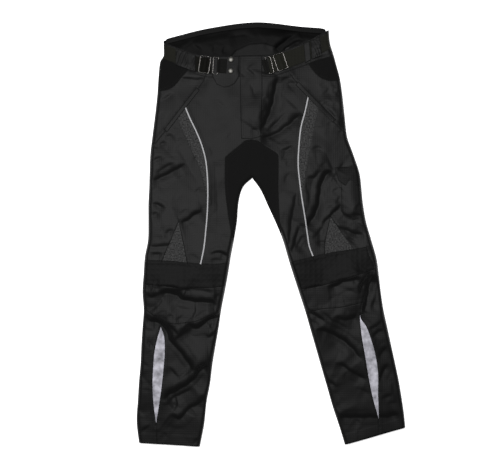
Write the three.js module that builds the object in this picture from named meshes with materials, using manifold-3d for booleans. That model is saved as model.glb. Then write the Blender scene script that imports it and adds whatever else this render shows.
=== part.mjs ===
// Motorcycle trousers laid flat on their back, in millimetres, +Z up.
// X runs towards the wearer's left, Y from the hems up to the waist. The origin lies on the surface
// that the trousers rest on, under the middle of their outline.
import * as THREE from "three";
import { mergeVertices } from "three/addons/utils/BufferGeometryUtils.js";
import Module from "manifold-3d";

const wasm = await Module();
wasm.setup();

// Driving sizes
const GAP = 0.3; // between two pieces at a seam, and under what lies on a panel
const FRONT_WALL = 2.6;
const BACK_WALL = 2.5;
const SIDE_HEIGHT = 9; // the side seams above the resting surface
const ROUND = 18; // reach of the front's rounded edge, in from a side seam
const BACK_ROUND = 6; // reach of the back's rounded edge
const CENTRE = -48; // x of the centre seam
const TRIM = 2; // thickness of a strip or patch that lies on the front
const LAYER_ONE = GAP; // how far the underside of a first strip is above the front
const LAYER_TWO = LAYER_ONE + TRIM + GAP; // the same for a second strip on top of a first
const BELOW = -5; // foot and top of a cutting prism, past all of the cloth
const ABOVE = 80;
const PIPING = 3.2;
const WELT = 11;
const SNAP = 15; // diameter of a snap's cap
const SNAP_HEIGHT = 3.4;
// A snap's cap in section: shares of its radius and of its height, from the middle of its foot.
const SNAP_SECTION = [[0, 0], [1, 0], [1, 0.35], [0.9, 0.7], [0.55, 0.95], [0, 1]];
const SNAP_SIDES = 16;
const BAR_HEIGHT = 2.6; // of a buckle
const LOOP_WALL = 1.6;
const LOOP_EASE = 2; // between a loop and each side of its ring
const LOOP_SLOPE = 1; // how far a loop comes forward as it rises over its ring's bar
const CASING = 50; // depth of a belt casing
const PLEAT = 1.6; // height of a casing's pleats
const PLEAT_STEPS = 4;
const LINING_WALL = 1.2;
const FACING = 20; // depth of the back waistband's inside that the lining leaves bare
const FAR = 700; // past the end and the sides of the garment
const PIN = 2; // side of the square that picks out a piece

// Sections from the waist to the hem. outer is on the side seam and inner on the centre seam, or below
// the crotch on the inside leg. lift is how far the front's top lies above the side seam, and parted
// says how far the inner edge is rounded down to a seam of its own. rows is how many rows of points
// the front has from this section to the next.
const RIGHT_SECTIONS = [
  { at: "top", outer: [-275, 553], inner: [-48, 564], lift: 10, parted: 0, rows: 1 },
  { at: "back_rise", outer: [-275, 518], inner: [-48, 523], lift: 10, parted: 0, rows: 1 },
  { at: "waist", outer: [-275, 484], inner: [-48, 472], lift: 13, parted: 0, rows: 1 },
  { at: "belt", outer: [-275, 459], inner: [-48, 431], lift: 14, parted: 0, rows: 1 },
  { at: "hip_step", outer: [-284, 442], inner: [-48, 400], lift: 15, parted: 0, rows: 2 },
  { at: "hip", outer: [-288, 405], inner: [-48, 360], lift: 15, parted: 0, rows: 2 },
  { at: "pocket", outer: [-291, 360], inner: [-48, 319], lift: 16, parted: 0, rows: 2 },
  { at: "seat", outer: [-296, 314], inner: [-48, 273], lift: 17, parted: 0, rows: 2 },
  { at: "rise", outer: [-303, 258], inner: [-48, 217], lift: 17, parted: 0, rows: 2 },
  { at: "gusset", outer: [-309, 207], inner: [-48, 181], lift: 17, parted: 0, rows: 2 },
  { at: "fork", outer: [-310, 176], inner: [-48, 160], lift: 17, parted: 0.2, rows: 2 },
  { at: "crotch", outer: [-311, 156], inner: [-49, 146], lift: 17, parted: 0.7, rows: 2 },
  { at: "upper_thigh", outer: [-312, 120], inner: [-72, 122], lift: 17, parted: 1, rows: 2 },
  { at: "mid_thigh", outer: [-314, 79], inner: [-83, 84], lift: 18, parted: 1, rows: 2 },
  { at: "low_thigh", outer: [-314, 33], inner: [-87, 36], lift: 18, parted: 1, rows: 2 },
  { at: "over_knee", outer: [-315, -13], inner: [-95, -13], lift: 19, parted: 1, rows: 2 },
  { at: "knee_top", outer: [-323, -56], inner: [-103, -56], lift: 21, parted: 1, rows: 2 },
  { at: "knee", outer: [-326, -99], inner: [-110, -99], lift: 21, parted: 1, rows: 2 },
  { at: "knee_foot", outer: [-329, -145], inner: [-118, -143], lift: 20, parted: 1, rows: 2 },
  { at: "under_knee", outer: [-326, -191], inner: [-127, -189], lift: 17, parted: 1, rows: 2 },
  { at: "upper_shin", outer: [-329, -237], inner: [-134, -237], lift: 16, parted: 1, rows: 2 },
  { at: "mid_shin", outer: [-332, -283], inner: [-142, -283], lift: 15, parted: 1, rows: 1 },
  { at: "low_shin", outer: [-334, -329], inner: [-150, -332], lift: 14, parted: 1, rows: 1 },
  { at: "calf_foot", outer: [-338, -375], inner: [-156, -380], lift: 13, parted: 1, rows: 1 },
  { at: "over_ankle", outer: [-341, -423], inner: [-165, -428], lift: 13, parted: 1, rows: 1 },
  { at: "ankle", outer: [-344, -477], inner: [-171, -484], lift: 12, parted: 1, rows: 1 },
  { at: "hem", outer: [-338, -531], inner: [-182, -541], lift: 11, parted: 1, rows: 1 },
];
const LEFT_SECTIONS = [
  { at: "top", outer: [148, 564], inner: [-48, 564], lift: 10, parted: 0, rows: 1 },
  { at: "back_rise", outer: [148, 528], inner: [-48, 523], lift: 10, parted: 0, rows: 1 },
  { at: "waist", outer: [151, 492], inner: [-48, 472], lift: 13, parted: 0, rows: 1 },
  { at: "belt", outer: [160, 462], inner: [-48, 431], lift: 14, parted: 0, rows: 1 },
  { at: "hip_step", outer: [168, 433], inner: [-48, 400], lift: 15, parted: 0, rows: 2 },
  { at: "hip", outer: [177, 398], inner: [-48, 360], lift: 15, parted: 0, rows: 2 },
  { at: "pocket", outer: [183, 357], inner: [-48, 319], lift: 16, parted: 0, rows: 2 },
  { at: "seat", outer: [188, 311], inner: [-48, 273], lift: 17, parted: 0, rows: 2 },
  { at: "rise", outer: [195, 252], inner: [-48, 217], lift: 17, parted: 0, rows: 2 },
  { at: "gusset", outer: [209, 212], inner: [-48, 181], lift: 17, parted: 0, rows: 2 },
  { at: "fork", outer: [219, 186], inner: [-48, 160], lift: 17, parted: 0.2, rows: 2 },
  { at: "crotch", outer: [226, 161], inner: [-47, 146], lift: 17, parted: 0.7, rows: 2 },
  { at: "upper_thigh", outer: [231, 125], inner: [-26, 115], lift: 17, parted: 1, rows: 2 },
  { at: "mid_thigh", outer: [235, 84], inner: [-8, 76], lift: 18, parted: 1, rows: 2 },
  { at: "low_thigh", outer: [243, 36], inner: [14, 28], lift: 18, parted: 1, rows: 2 },
  { at: "over_knee", outer: [257, -13], inner: [31, -15], lift: 19, parted: 1, rows: 2 },
  { at: "knee_top", outer: [270, -59], inner: [46, -66], lift: 21, parted: 1, rows: 2 },
  { at: "knee", outer: [276, -102], inner: [60, -110], lift: 21, parted: 1, rows: 2 },
  { at: "knee_foot", outer: [281, -145], inner: [74, -153], lift: 20, parted: 1, rows: 2 },
  { at: "under_knee", outer: [288, -191], inner: [88, -196], lift: 17, parted: 1, rows: 2 },
  { at: "upper_shin", outer: [298, -237], inner: [102, -245], lift: 16, parted: 1, rows: 2 },
  { at: "mid_shin", outer: [308, -283], inner: [116, -293], lift: 15, parted: 1, rows: 1 },
  { at: "low_shin", outer: [318, -329], inner: [130, -342], lift: 14, parted: 1, rows: 1 },
  { at: "calf_foot", outer: [327, -372], inner: [144, -390], lift: 13, parted: 1, rows: 1 },
  { at: "over_ankle", outer: [334, -413], inner: [158, -439], lift: 13, parted: 1, rows: 1 },
  { at: "ankle", outer: [340, -454], inner: [175, -490], lift: 12, parted: 1, rows: 1 },
  { at: "hem", outer: [344, -492], inner: [189, -536], lift: 11, parted: 1, rows: 1 },
];

// Folds: each a soft trough, depth below nought, or ridge, from one point to another.
const FOLDS = [
  { at: "beside the fly", from: [-28, 263], to: [5, 357], depth: -4.5, width: 17 },
  { at: "beside the fly, up", from: [5, 357], to: [18, 400], depth: -3.5, width: 16 },
  { at: "across the left front", from: [-18, 247], to: [82, 306], depth: -4, width: 19 },
  { at: "ridge over it", from: [-15, 275], to: [70, 335], depth: 2.5, width: 19 },
  { at: "left fork", from: [20, 214], to: [61, 227], depth: -3, width: 17 },
  { at: "left thigh, top", from: [156, 163], to: [132, 143], depth: -5, width: 17 },
  { at: "left thigh, middle", from: [132, 143], to: [105, 43], depth: -5, width: 17 },
  { at: "left thigh, foot", from: [105, 43], to: [92, 20], depth: -4, width: 17 },
  { at: "left thigh ridge", from: [155, 120], to: [132, 30], depth: 3, width: 20 },
  { at: "under the left pocket", from: [150, 48], to: [179, 77], depth: -3.5, width: 17 },
  { at: "left side seam", from: [199, 48], to: [235, 61], depth: -3, width: 16 },
  { at: "over the left knee", from: [166, 15], to: [232, -3], depth: -3.5, width: 17 },
  { at: "left inside leg", from: [48, -54], to: [79, -3], depth: -3.5, width: 18 },
  { at: "left inside thigh", from: [38, 0], to: [56, 64], depth: -3, width: 17 },
  { at: "under the left knee", from: [89, -189], to: [135, -217], depth: -3.5, width: 17 },
  { at: "left shin", from: [117, -242], to: [181, -255], depth: -4, width: 18 },
  { at: "left shin, out", from: [181, -255], to: [227, -305], depth: -4, width: 18 },
  { at: "left calf", from: [170, -325], to: [233, -357], depth: -3, width: 18 },
  { at: "left ankle", from: [144, -370], to: [176, -446], depth: -3, width: 19 },
  { at: "left side, knee", from: [219, -148], to: [247, -89], depth: -3, width: 16 },
  { at: "right hip", from: [-148, 347], to: [-120, 329], depth: -2.5, width: 17 },
  { at: "right side, upper", from: [-298, 140], to: [-219, 186], depth: -3.5, width: 18 },
  { at: "right side, thigh", from: [-302, 64], to: [-268, 70], depth: -3.5, width: 18 },
  { at: "right insert", from: [-232, 33], to: [-171, 64], depth: -2.5, width: 17 },
  { at: "over the right knee", from: [-308, -28], to: [-258, -20], depth: -3, width: 17 },
  { at: "right inside knee", from: [-153, -46], to: [-106, -54], depth: -3, width: 16 },
  { at: "right knee, side", from: [-319, -138], to: [-296, -153], depth: -5, width: 16 },
  { at: "right knee, across", from: [-296, -144], to: [-138, -170], depth: -4.5, width: 17 },
  { at: "right shin, side", from: [-321, -194], to: [-278, -222], depth: -3.5, width: 17 },
  { at: "right shin", from: [-278, -222], to: [-230, -288], depth: -3.5, width: 18 },
  { at: "right shin, foot", from: [-230, -288], to: [-207, -338], depth: -3.5, width: 19 },
  { at: "right shin, in", from: [-209, -222], to: [-133, -194], depth: -3, width: 17 },
  { at: "right calf", from: [-162, -338], to: [-270, -421], depth: -3.5, width: 19 },
  { at: "right ankle", from: [-258, -446], to: [-175, -427], depth: -3, width: 18 },
];

// Seams that part the front of each half, each from one edge or seam to the next.
const RIGHT_SEAMS = {
  band_foot: [[-309, 454], [-278, 450], [-252, 440], [-219, 425], [-191, 411], [-166, 403],
    [-117, 402], [-71, 405], [-28, 407]],
  pocket_seam: [[-167, 405], [-181, 380], [-214, 333], [-242, 297], [-273, 260], [-301, 224],
    [-326, 191]],
  stretch: [[-208, 424], [-217, 414], [-229, 400], [-247, 380], [-265, 370], [-288, 367],
    [-314, 367]],
  piping: [[-220, 330], [-207, 298], [-191, 265], [-178, 233], [-168, 198], [-163, 161],
    [-161, 115], [-162, 64], [-166, 13], [-171, -33], [-180, -77]],
  crescent: [[-239.5, 302], [-237, 293], [-224, 263], [-204, 219], [-186, 181], [-173, 140],
    [-160.8, 84]],
  insert_outer: [[-278, -67.5], [-234.5, 34]],
  insert_inner: [[-214, -72], [-235.2, 34]],
  gusset: [[-44, 242], [-64, 241], [-79, 229], [-113, 201], [-117, 189], [-117, 125],
    [-110, 56], [-92, -45]],
  knee_top: [[-345, -65], [-270, -65], [-214, -70], [-168, -75], [-135, -74], [-100, -67]],
  knee_foot: [[-350, -125], [-278, -130], [-227, -136], [-168, -135], [-100, -130]],
  cap_foot: [[-347, -184], [-321, -191], [-296, -209], [-278, -221], [-252, -227],
    [-217, -224], [-181, -217], [-112, -182]],
  reflector_outer: [[-277, -219.5], [-291, -268], [-298, -306], [-301, -349], [-302, -390],
    [-299, -436], [-293, -482], [-291, -513], [-289, -560]],
  reflector_inner: [[-284, -229], [-273, -260], [-271, -298], [-274, -339], [-279, -388],
    [-286, -436], [-295, -491]],
};
const LEFT_SEAMS = {
  band_foot: [[-69, 407], [-23, 405], [8, 405], [43, 417], [82, 431], [125, 448],
    [163, 456], [189, 462]],
  pocket_seam: [[44, 420], [61, 393], [89, 363], [120, 330], [150, 297], [176, 273],
    [207, 245]],
  stretch: [[95, 437], [102, 427], [115, 411], [130, 399], [150, 393], [171, 394],
    [196, 395]],
  piping: [[96, 358], [87, 316], [76, 273], [71, 227], [69, 178], [73, 135], [79, 89],
    [87, 41], [93, -3], [98, -31], [109, -59]],
  crescent: [[123.5, 330], [119, 316], [111, 280], [101, 229], [92, 178], [84, 127],
    [77, 86]],
  insert_outer: [[212, -40], [151.5, 46]],
  insert_inner: [[138, -50], [138, -20], [152.3, 46]],
  gusset: [[-52, 242], [-33, 240], [-13, 226], [15, 208], [19, 191], [19, 115], [21, 59],
    [25, 10], [28, -30]],
  knee_top: [[30, -74], [105, -56], [150, -45], [194, -38], [232, -32], [285, -20]],
  knee_foot: [[55, -140], [112, -133], [158, -121], [207, -106], [242, -94], [264, -87]],
  cap_foot: [[75, -203], [130, -189], [176, -185], [222, -175], [237, -171]],
  reflector_outer: [[243, -28], [250, -56], [262, -80], [255, -110], [240, -145], [227, -204],
    [242, -232], [256, -270], [267, -311], [273, -357], [273, -408], [275, -467], [278, -530]],
  reflector_inner: [[232, -201], [226.5, -207], [231, -258], [240, -309], [252, -380],
    [263, -428], [277, -476]],
};

// A point inside each cut piece of the front.
const RIGHT_PIECES = {
  waistband_front: [-210, 445], hip_front: [-260, 330], hip_stretch: [-265, 410],
  front_centre: [-110, 300], crescent_insert: [-190, 225], side_thigh: [-250, 150],
  thigh_insert: [-235, -30], crotch_gusset: [-80, 150], knee_band: [-200, -105],
  shin_top: [-200, -180], shin_inner: [-200, -350], reflector: [-285, -350],
  shin_outer: [-318, -350],
};
const LEFT_PIECES = {
  waistband_front: [60, 450], hip_front: [140, 340], hip_stretch: [145, 425],
  front_centre: [30, 300], crescent_insert: [88, 225], side_thigh: [150, 150],
  thigh_insert: [155, -10], crotch_gusset: [-20, 150], knee_band: [150, -90],
  shin_top: [150, -150], shin_inner: [180, -350], reflector: [258, -340],
  shin_outer: [300, -350],
};

// Edges of the whole garment
const FRONT_WAIST = [[-296, 498], [-275, 491], [-227, 474], [-181, 460], [-125, 456], [-71, 458],
  [-23, 459], [8, 462], [38, 473], [87, 492], [135, 517], [175, 540]];
const BACK_WAIST = [[-309, 480], [-275, 492], [-265, 499], [-232, 507], [-181, 520], [-127, 530],
  [-79, 538], [-33, 541], [10, 537], [74, 530], [133, 525], [142, 517], [160, 492]];
const BACK_BAND_FOOT = [[-309, 435], [-275, 445], [-181, 470], [-33, 488], [74, 480], [170, 460]];

// Outlines of what lies on the panels
const FLY_FLAP = [[-78, 457.5], [-22.5, 458], [-22, 395], [-23, 319], [-26, 250], [-51, 244],
  [-76, 245], [-78, 319], [-79, 395]];
const FRONT_TAB = [[-150, 456], [-80.5, 456.5], [-80.5, 405], [-92, 386], [-106, 378], [-120, 376],
  [-138, 383], [-150, 404]];
const STRAP_RIGHT = [[-279, 486], [-252, 478], [-219, 466], [-189, 455], [-152, 450], [-152, 411],
  [-189, 416], [-219, 428], [-252, 441], [-279, 451]];
const STRAP_LEFT = [[-8, 453], [31, 464], [74, 481], [115, 499], [140, 511], [152, 517], [164, 478],
  [140, 469], [115, 456], [79, 439], [43, 425], [-3, 411]];
const KEEPER_LEFT = [[83, 488], [98, 495], [102, 446], [87, 438]];
const POCKET_BAG = [[177, 164], [248, 168], [258, 48], [207, 37], [188, 45], [179, 60]];
const POCKET_FLAP = [[161, 172], [248, 176], [252, 124], [189, 124], [171, 139]];
const WELT_RIGHT = [[-186, 373], [-269, 265]];
const WELT_LEFT = [[66, 387], [161, 290]];
const LINING_FOOT = 380; // y of the lining's lower edge, inside under the front

// The dome that the lining's panel makes between the dark yoke's two arms
const LINING_DOME = [[-150, 382], [-118, 440], [-88, 474], [-55, 490], [-20, 492], [10, 482],
  [34, 455], [60, 382]];

// Gathered casings for the belt: four corners in plan and how many pleats they hold.
const CASINGS = [
  { at: "right", from: [[-243, 476], [-243, 433]], to: [[-192, 458], [-192, 414]], pleats: 5 },
  { at: "left", from: [[100, 496], [104, 447]], to: [[124, 506], [130, 457]], pleats: 4 },
];

// Buckles: centre and turn in degrees of each slider and ring.
const BUCKLES = [
  { at: "slider_right", centre: [-169, 434], size: [30, 46], bar: 4, turn: -9, slots: 2 },
  { at: "ring_right", centre: [-141, 431], size: [16, 46], bar: 3.4, turn: -3, slots: 1 },
  { at: "slider_left", centre: [24, 441], size: [30, 46], bar: 4, turn: 19, slots: 2 },
  { at: "ring_left", centre: [-3.5, 432], size: [16, 46], bar: 3.4, turn: 14, slots: 1 },
];
// Short loops of webbing that hold the rings: how far past the ring each is sewn down.
const RING_LOOPS = [
  { at: "right", ring: "ring_right", reach: 20, towards: 1 },
  { at: "left", ring: "ring_left", reach: 9.5, towards: -1 },
];
const SNAPS = [
  { at: "upper", centre: [-102, 447] },
  { at: "lower", centre: [-102.5, 418] },
];

const finish = (red, green, blue, roughness, metalness = 0) => ({
  color: new THREE.Color(`rgb(${red},${green},${blue})`), roughness, metalness,
});
const FINISHES = {
  cloth: finish(45, 45, 47, 0.85),
  front_cloth: finish(36, 36, 38, 0.85),
  suede: finish(27, 27, 28, 0.95),
  stretch: finish(22, 22, 23, 0.9),
  band: finish(31, 31, 32, 0.85),
  insert: finish(63, 61, 62, 0.9),
  reflector: finish(169, 168, 180, 0.45),
  piping: finish(190, 190, 192, 0.4),
  webbing: finish(36, 36, 33, 0.8),
  lining: finish(33, 33, 34, 0.6),
  dark_lining: finish(20, 20, 21, 0.6),
  metal: finish(120, 118, 116, 0.35, 0.9),
};

// Solids and cuts
function solidFrom(points, faces) {
  const vertProperties = new Float32Array(points.flat());
  const make = (list) => new wasm.Manifold(
    new wasm.Mesh({ numProp: 3, vertProperties, triVerts: new Uint32Array(list.flat()) }),
  );
  const made = make(faces);
  return made.volume() > 0 ? made : make(faces.map(([a, b, c]) => [a, c, b]));
}

// A closed solid between two grids of points that match row for row.
function between(over, under) {
  const last = over.length - 1;
  const end = over[0].length - 1;
  const count = (last + 1) * (end + 1);
  const at = (layer, row, column) => layer * count + row * (end + 1) + column;
  const faces = [];
  const quad = (a, b, c, d) => faces.push([a, b, c], [a, c, d]);
  for (let r = 0; r < last; r++) {
    for (let c = 0; c < end; c++) {
      quad(at(0, r, c), at(0, r, c + 1), at(0, r + 1, c + 1), at(0, r + 1, c));
      quad(at(1, r, c), at(1, r + 1, c), at(1, r + 1, c + 1), at(1, r, c + 1));
    }
    quad(at(0, r, 0), at(0, r + 1, 0), at(1, r + 1, 0), at(1, r, 0));
    quad(at(0, r + 1, end), at(0, r, end), at(1, r, end), at(1, r + 1, end));
  }
  for (let c = 0; c < end; c++) {
    quad(at(0, 0, c + 1), at(0, 0, c), at(1, 0, c), at(1, 0, c + 1));
    quad(at(0, last, c), at(0, last, c + 1), at(1, last, c + 1), at(1, last, c));
  }
  return solidFrom([...over.flat(), ...under.flat()], faces);
}

function geometrySolid(geometry) {
  geometry.deleteAttribute("normal");
  geometry.deleteAttribute("uv");
  const merged = mergeVertices(geometry, 1e-4);
  const flat = Array.from(merged.attributes.position.array);
  const points = [];
  for (let i = 0; i < flat.length; i += 3) points.push(flat.slice(i, i + 3));
  const corners = Array.from(merged.index.array);
  const faces = [];
  for (let i = 0; i < corners.length; i += 3) faces.push(corners.slice(i, i + 3));
  return solidFrom(points, faces);
}

// An upright prism on a plan outline.
function prism(outline, low = BELOW, high = ABOVE) {
  const shape = new THREE.Shape(outline.map(([x, y]) => new THREE.Vector2(x, y)));
  const geometry = new THREE.ExtrudeGeometry(shape, { depth: high - low, bevelEnabled: false });
  geometry.translate(0, 0, low);
  return geometrySolid(geometry);
}

// The outline of a ribbon of one width along a run of points.
function ribbon(run, width) {
  const sides = run.map((point, i) => {
    const back = run[Math.max(i - 1, 0)];
    const ahead = run[Math.min(i + 1, run.length - 1)];
    const along = new THREE.Vector2(ahead[0] - back[0], ahead[1] - back[1]).normalize();
    const out = [(-along.y * width) / 2, (along.x * width) / 2];
    return [[point[0] + out[0], point[1] + out[1]], [point[0] - out[0], point[1] - out[1]]];
  });
  return [...sides.map((pair) => pair[0]), ...sides.map((pair) => pair[1]).reverse()];
}

// Form of the front and back
const quarter = (share) => Math.sqrt(1 - (1 - Math.min(Math.max(share, 0), 1)) ** 2);

function foldAt(x, y) {
  let height = 0;
  for (const { from, to, depth, width } of FOLDS) {
    const run = [to[0] - from[0], to[1] - from[1]];
    const length = Math.hypot(...run);
    const along = ((x - from[0]) * run[0] + (y - from[1]) * run[1]) / length;
    const across = ((x - from[0]) * run[1] - (y - from[1]) * run[0]) / length;
    const past = Math.max(-along, along - length, 0);
    height += depth * Math.exp(-((across / width) ** 2) - (past / width) ** 2);
  }
  return height;
}

// Rows of the form, with as many for each section as rowsFor gives.
function rowsOf(sections, rowsFor) {
  const curve = (pick) => new THREE.CatmullRomCurve3(
    sections.map((row) => new THREE.Vector3(...pick(row))),
  );
  const outer = curve((row) => [...row.outer, 0]);
  const inner = curve((row) => [...row.inner, 0]);
  const rise = curve((row) => [row.lift, row.parted, 0]);
  const last = sections.length - 1;
  const shares = sections.slice(0, last).flatMap((row, i) => {
    return Array.from({ length: rowsFor(row) }, (_, k) => (i + k / rowsFor(row)) / last);
  });
  const left = sections[0].outer[0] > CENTRE;
  return [...shares, 1].map((share) => {
    const edge = outer.getPoint(share);
    const middle = inner.getPoint(share);
    const { x: lift, y: parted } = rise.getPoint(share);
    middle.x = left ? Math.max(middle.x, CENTRE) : Math.min(middle.x, CENTRE);
    return { edge, middle, lift, parted: Math.min(Math.max(parted, 0), 1) };
  });
}

// Distances in from the two edges of a row, where a skin that lies inset from the outside has points.
const EDGE_STEPS = [0, 2.2, 8, ROUND];
function columnsOf(row, inset, centreGap, shares) {
  const width = row.edge.distanceTo(row.middle);
  const start = (step) => inset + (step * (ROUND - inset)) / ROUND;
  const innerInset = inset * row.parted + (centreGap / 2) * (1 - row.parted);
  const finishAt = (step) => width - innerInset - (step * (ROUND - innerInset)) / ROUND;
  const middle = Array.from({ length: shares - 1 }, (_, i) => {
    return ROUND + ((i + 1) / shares) * (width - 2 * ROUND);
  });
  return [
    ...EDGE_STEPS.map((step) => ({ at: start(step), out: step, in: ROUND })),
    ...middle.map((at) => ({ at, out: ROUND, in: ROUND })),
    ...EDGE_STEPS.toReversed().map((step) => ({ at: finishAt(step), out: ROUND, in: step })),
  ].map((column) => {
    const share = column.at / width;
    const x = row.edge.x + share * (row.middle.x - row.edge.x);
    const y = row.edge.y + share * (row.middle.y - row.edge.y);
    const inward = 1 - row.parted * (1 - quarter(column.in / ROUND));
    return { x, y, rounded: quarter(column.out / ROUND) * inward };
  });
}

const FRONT_SHARES = 8;
const BACK_SHARES = 2;
const bothRows = (sections) => ({
  front: rowsOf(sections, (section) => section.rows),
  back: rowsOf(sections, () => 1),
});
const ROWS = { right: bothRows(RIGHT_SECTIONS), left: bothRows(LEFT_SECTIONS) };

function frontSkin(side, inset, centreGap) {
  return ROWS[side].front.map((row) => columnsOf(row, inset, centreGap, FRONT_SHARES).map((p) => {
    const height = SIDE_HEIGHT + (row.lift - inset) * p.rounded + foldAt(p.x, p.y) * p.rounded;
    return [p.x, p.y, height];
  }));
}

// The back's underside, or its inside when inset is the wall, rounded up to the side seams.
function backSkin(side, inset, centreGap) {
  const top = SIDE_HEIGHT - GAP;
  const reach = BACK_ROUND - Math.min(inset, BACK_WALL);
  return ROWS[side].back.map((row) => columnsOf(row, inset, centreGap, BACK_SHARES).map((p) => {
    const fromEdge = Math.hypot(p.x - row.edge.x, p.y - row.edge.y) - inset;
    const fromMiddle = Math.hypot(p.x - row.middle.x, p.y - row.middle.y) - inset * row.parted;
    const inward = 1 - row.parted * (1 - quarter(fromMiddle / reach));
    return [p.x, p.y, top + (inset - top) * quarter(fromEdge / reach) * inward];
  }));
}

// Part of the front, or of a strip that lies above it from one height to another.
const frontLayer = (side, out, into, centreGap = GAP) =>
  between(frontSkin(side, out, centreGap), frontSkin(side, into, centreGap));
const joinedLayer = (low, high) =>
  frontLayer("right", -high, -low, 0).add(frontLayer("left", -high, -low, 0));
const LAYERS = {
  one: joinedLayer(LAYER_ONE, LAYER_ONE + TRIM),
  two: joinedLayer(LAYER_TWO, LAYER_TWO + TRIM),
};
const onFront = (layer, outline) => LAYERS[layer].intersect(prism(outline));

// The corners of a rectangle round a place.
function rectangle([width, height], x = 0, y = 0) {
  const corners = [[-1, -1], [1, -1], [1, 1], [-1, 1]];
  return corners.map(([i, j]) => [x + (i * width) / 2, y + (j * height) / 2]);
}

// Highest point of a solid inside a square round a place.
function topOf(solid, x, y, reach) {
  return solid.intersect(prism(rectangle([reach, reach], x, y))).boundingBox().max[2];
}

// Nodes
const group = new THREE.Group();

function add(name, shape, finishName, turnedIn = null) {
  const made = shape.isBufferGeometry ? shape : geometryFrom(shape);
  const mesh = new THREE.Mesh(made, new THREE.MeshStandardMaterial(FINISHES[finishName]));
  mesh.name = name;
  if (turnedIn) {
    mesh.position.set(...turnedIn.position);
    mesh.rotation.z = THREE.MathUtils.degToRad(turnedIn.turn ?? 0);
  }
  group.add(mesh);
}

function geometryFrom(solid) {
  const { vertProperties, triVerts, numProp } = solid.getMesh();
  const count = vertProperties.length / numProp;
  const position = new Float32Array(count * 3);
  for (let i = 0; i < count; i++) {
    for (let k = 0; k < 3; k++) position[i * 3 + k] = vertProperties[i * numProp + k];
  }
  const geometry = new THREE.BufferGeometry();
  geometry.setAttribute("position", new THREE.BufferAttribute(position, 3));
  geometry.setIndex(new THREE.BufferAttribute(new Uint32Array(triVerts), 1));
  geometry.computeVertexNormals();
  return geometry;
}

const PIECE_FINISH = {
  waistband_front: "front_cloth", hip_front: "cloth", hip_stretch: "stretch",
  front_centre: "front_cloth", crescent_insert: "insert", side_thigh: "cloth",
  thigh_insert: "insert", crotch_gusset: "suede", knee_band: "band", shin_top: "front_cloth",
  shin_inner: "front_cloth", reflector: "reflector", shin_outer: "front_cloth",
  back_waistband: "cloth", back_panel: "cloth",
};

// Cuts cloth along its seams and adds each piece, known by a point inside it.
function addCut(side, cloth, seams, pieces) {
  let rest = cloth;
  for (const run of Object.values(seams)) {
    rest = rest.subtract(prism(ribbon(run, GAP)));
  }
  const parts = rest.decompose();
  for (const [name, [x, y]] of Object.entries(pieces)) {
    const pin = prism(rectangle([PIN, PIN], x, y));
    const found = parts.filter((part) => !part.intersect(pin).isEmpty());
    if (found.length !== 1) throw new Error(`${name}_${side} has ${found.length} pieces at its point`);
    add(`${name}_${side}`, found[0], PIECE_FINISH[name]);
    parts.splice(parts.indexOf(found[0]), 1);
  }
  if (parts.length > 0) {
    const places = parts.map((part) => part.boundingBox().min.map(Math.round).join(" "));
    throw new Error(`${side} cloth has pieces with no name near ${places.join("; ")}`);
  }
}

// All that lies beyond an upper edge that runs from one side to the other.
const beyond = (edge) => prism([...edge, [edge.at(-1)[0], FAR], [edge[0][0], FAR]]);

function addHalf(side, seams, pieces) {
  const front = frontLayer(side, 0, FRONT_WALL).subtract(beyond(FRONT_WAIST));
  addCut(side, front, seams, pieces);
  const back = between(backSkin(side, BACK_WALL, GAP), backSkin(side, 0, GAP));
  const trimmed = back.subtract(beyond(BACK_WAIST));
  const places = { back_waistband: [pieces.waistband_front[0], 500], back_panel: pieces.side_thigh };
  addCut(side, trimmed, { foot: BACK_BAND_FOOT }, places);
}

// The lining lies on the inside of the back: a dark yoke round a dome of its panel.
function addLining() {
  const low = BACK_WALL + GAP;
  const half = (side) => between(backSkin(side, low + LINING_WALL, 0), backSkin(side, low, 0));
  const upperEdge = BACK_WAIST.map(([x, y]) => [x, y - FACING]);
  const cut = half("right").add(half("left")).subtract(beyond(upperEdge));
  const lining = cut.intersect(beyond([[-FAR, LINING_FOOT], [FAR, LINING_FOOT]]));
  add("lining_panel", lining.intersect(prism(LINING_DOME)), "lining");
  const seam = prism(ribbon(LINING_DOME, 2 * GAP));
  add("lining_yoke", lining.subtract(prism(LINING_DOME)).subtract(seam), "dark_lining");
}

const partWay = (a, b, share) => [a[0] + (b[0] - a[0]) * share, a[1] + (b[1] - a[1]) * share];

// A gathered casing over the belt, with its pleats across the webbing.
function addCasing({ at, from, to, pleats }) {
  const steps = pleats * PLEAT_STEPS;
  const middle = (pair) => partWay(...pair, 0.5);
  const skin = (rise, pleat) => Array.from({ length: steps + 1 }, (_, i) => {
    const share = i / steps;
    const centre = partWay(middle(from), middle(to), share);
    const base = topOf(LAYERS.one, ...centre, CASING) + GAP;
    const wave = pleat * Math.abs(Math.sin(share * pleats * Math.PI));
    return [0, 0.5, 1].map((across) => {
      const point = partWay(partWay(from[0], to[0], share), partWay(from[1], to[1], share), across);
      return [...point, base + rise + wave];
    });
  });
  add(`belt_casing_${at}`, between(skin(TRIM, PLEAT), skin(0, 0)), "cloth");
}

// A flat metal frame: a slider has two slots with a bar between them, and a ring has one.
function addBuckle({ at, centre, size, bar, turn, slots }) {
  const slotWidth = (size[0] - bar * (slots + 1)) / slots;
  let shape = prism(rectangle(size), 0, BAR_HEIGHT);
  for (let i = 0; i < slots; i++) {
    const x = -size[0] / 2 + bar + slotWidth / 2 + i * (slotWidth + bar);
    shape = shape.subtract(prism(rectangle([slotWidth, size[1] - 2 * bar], x)));
  }
  const height = topOf(LAYERS.one, ...centre, size[1]) + GAP;
  add(`buckle_${at}`, shape, "metal", { position: [...centre, height], turn });
}

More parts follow.
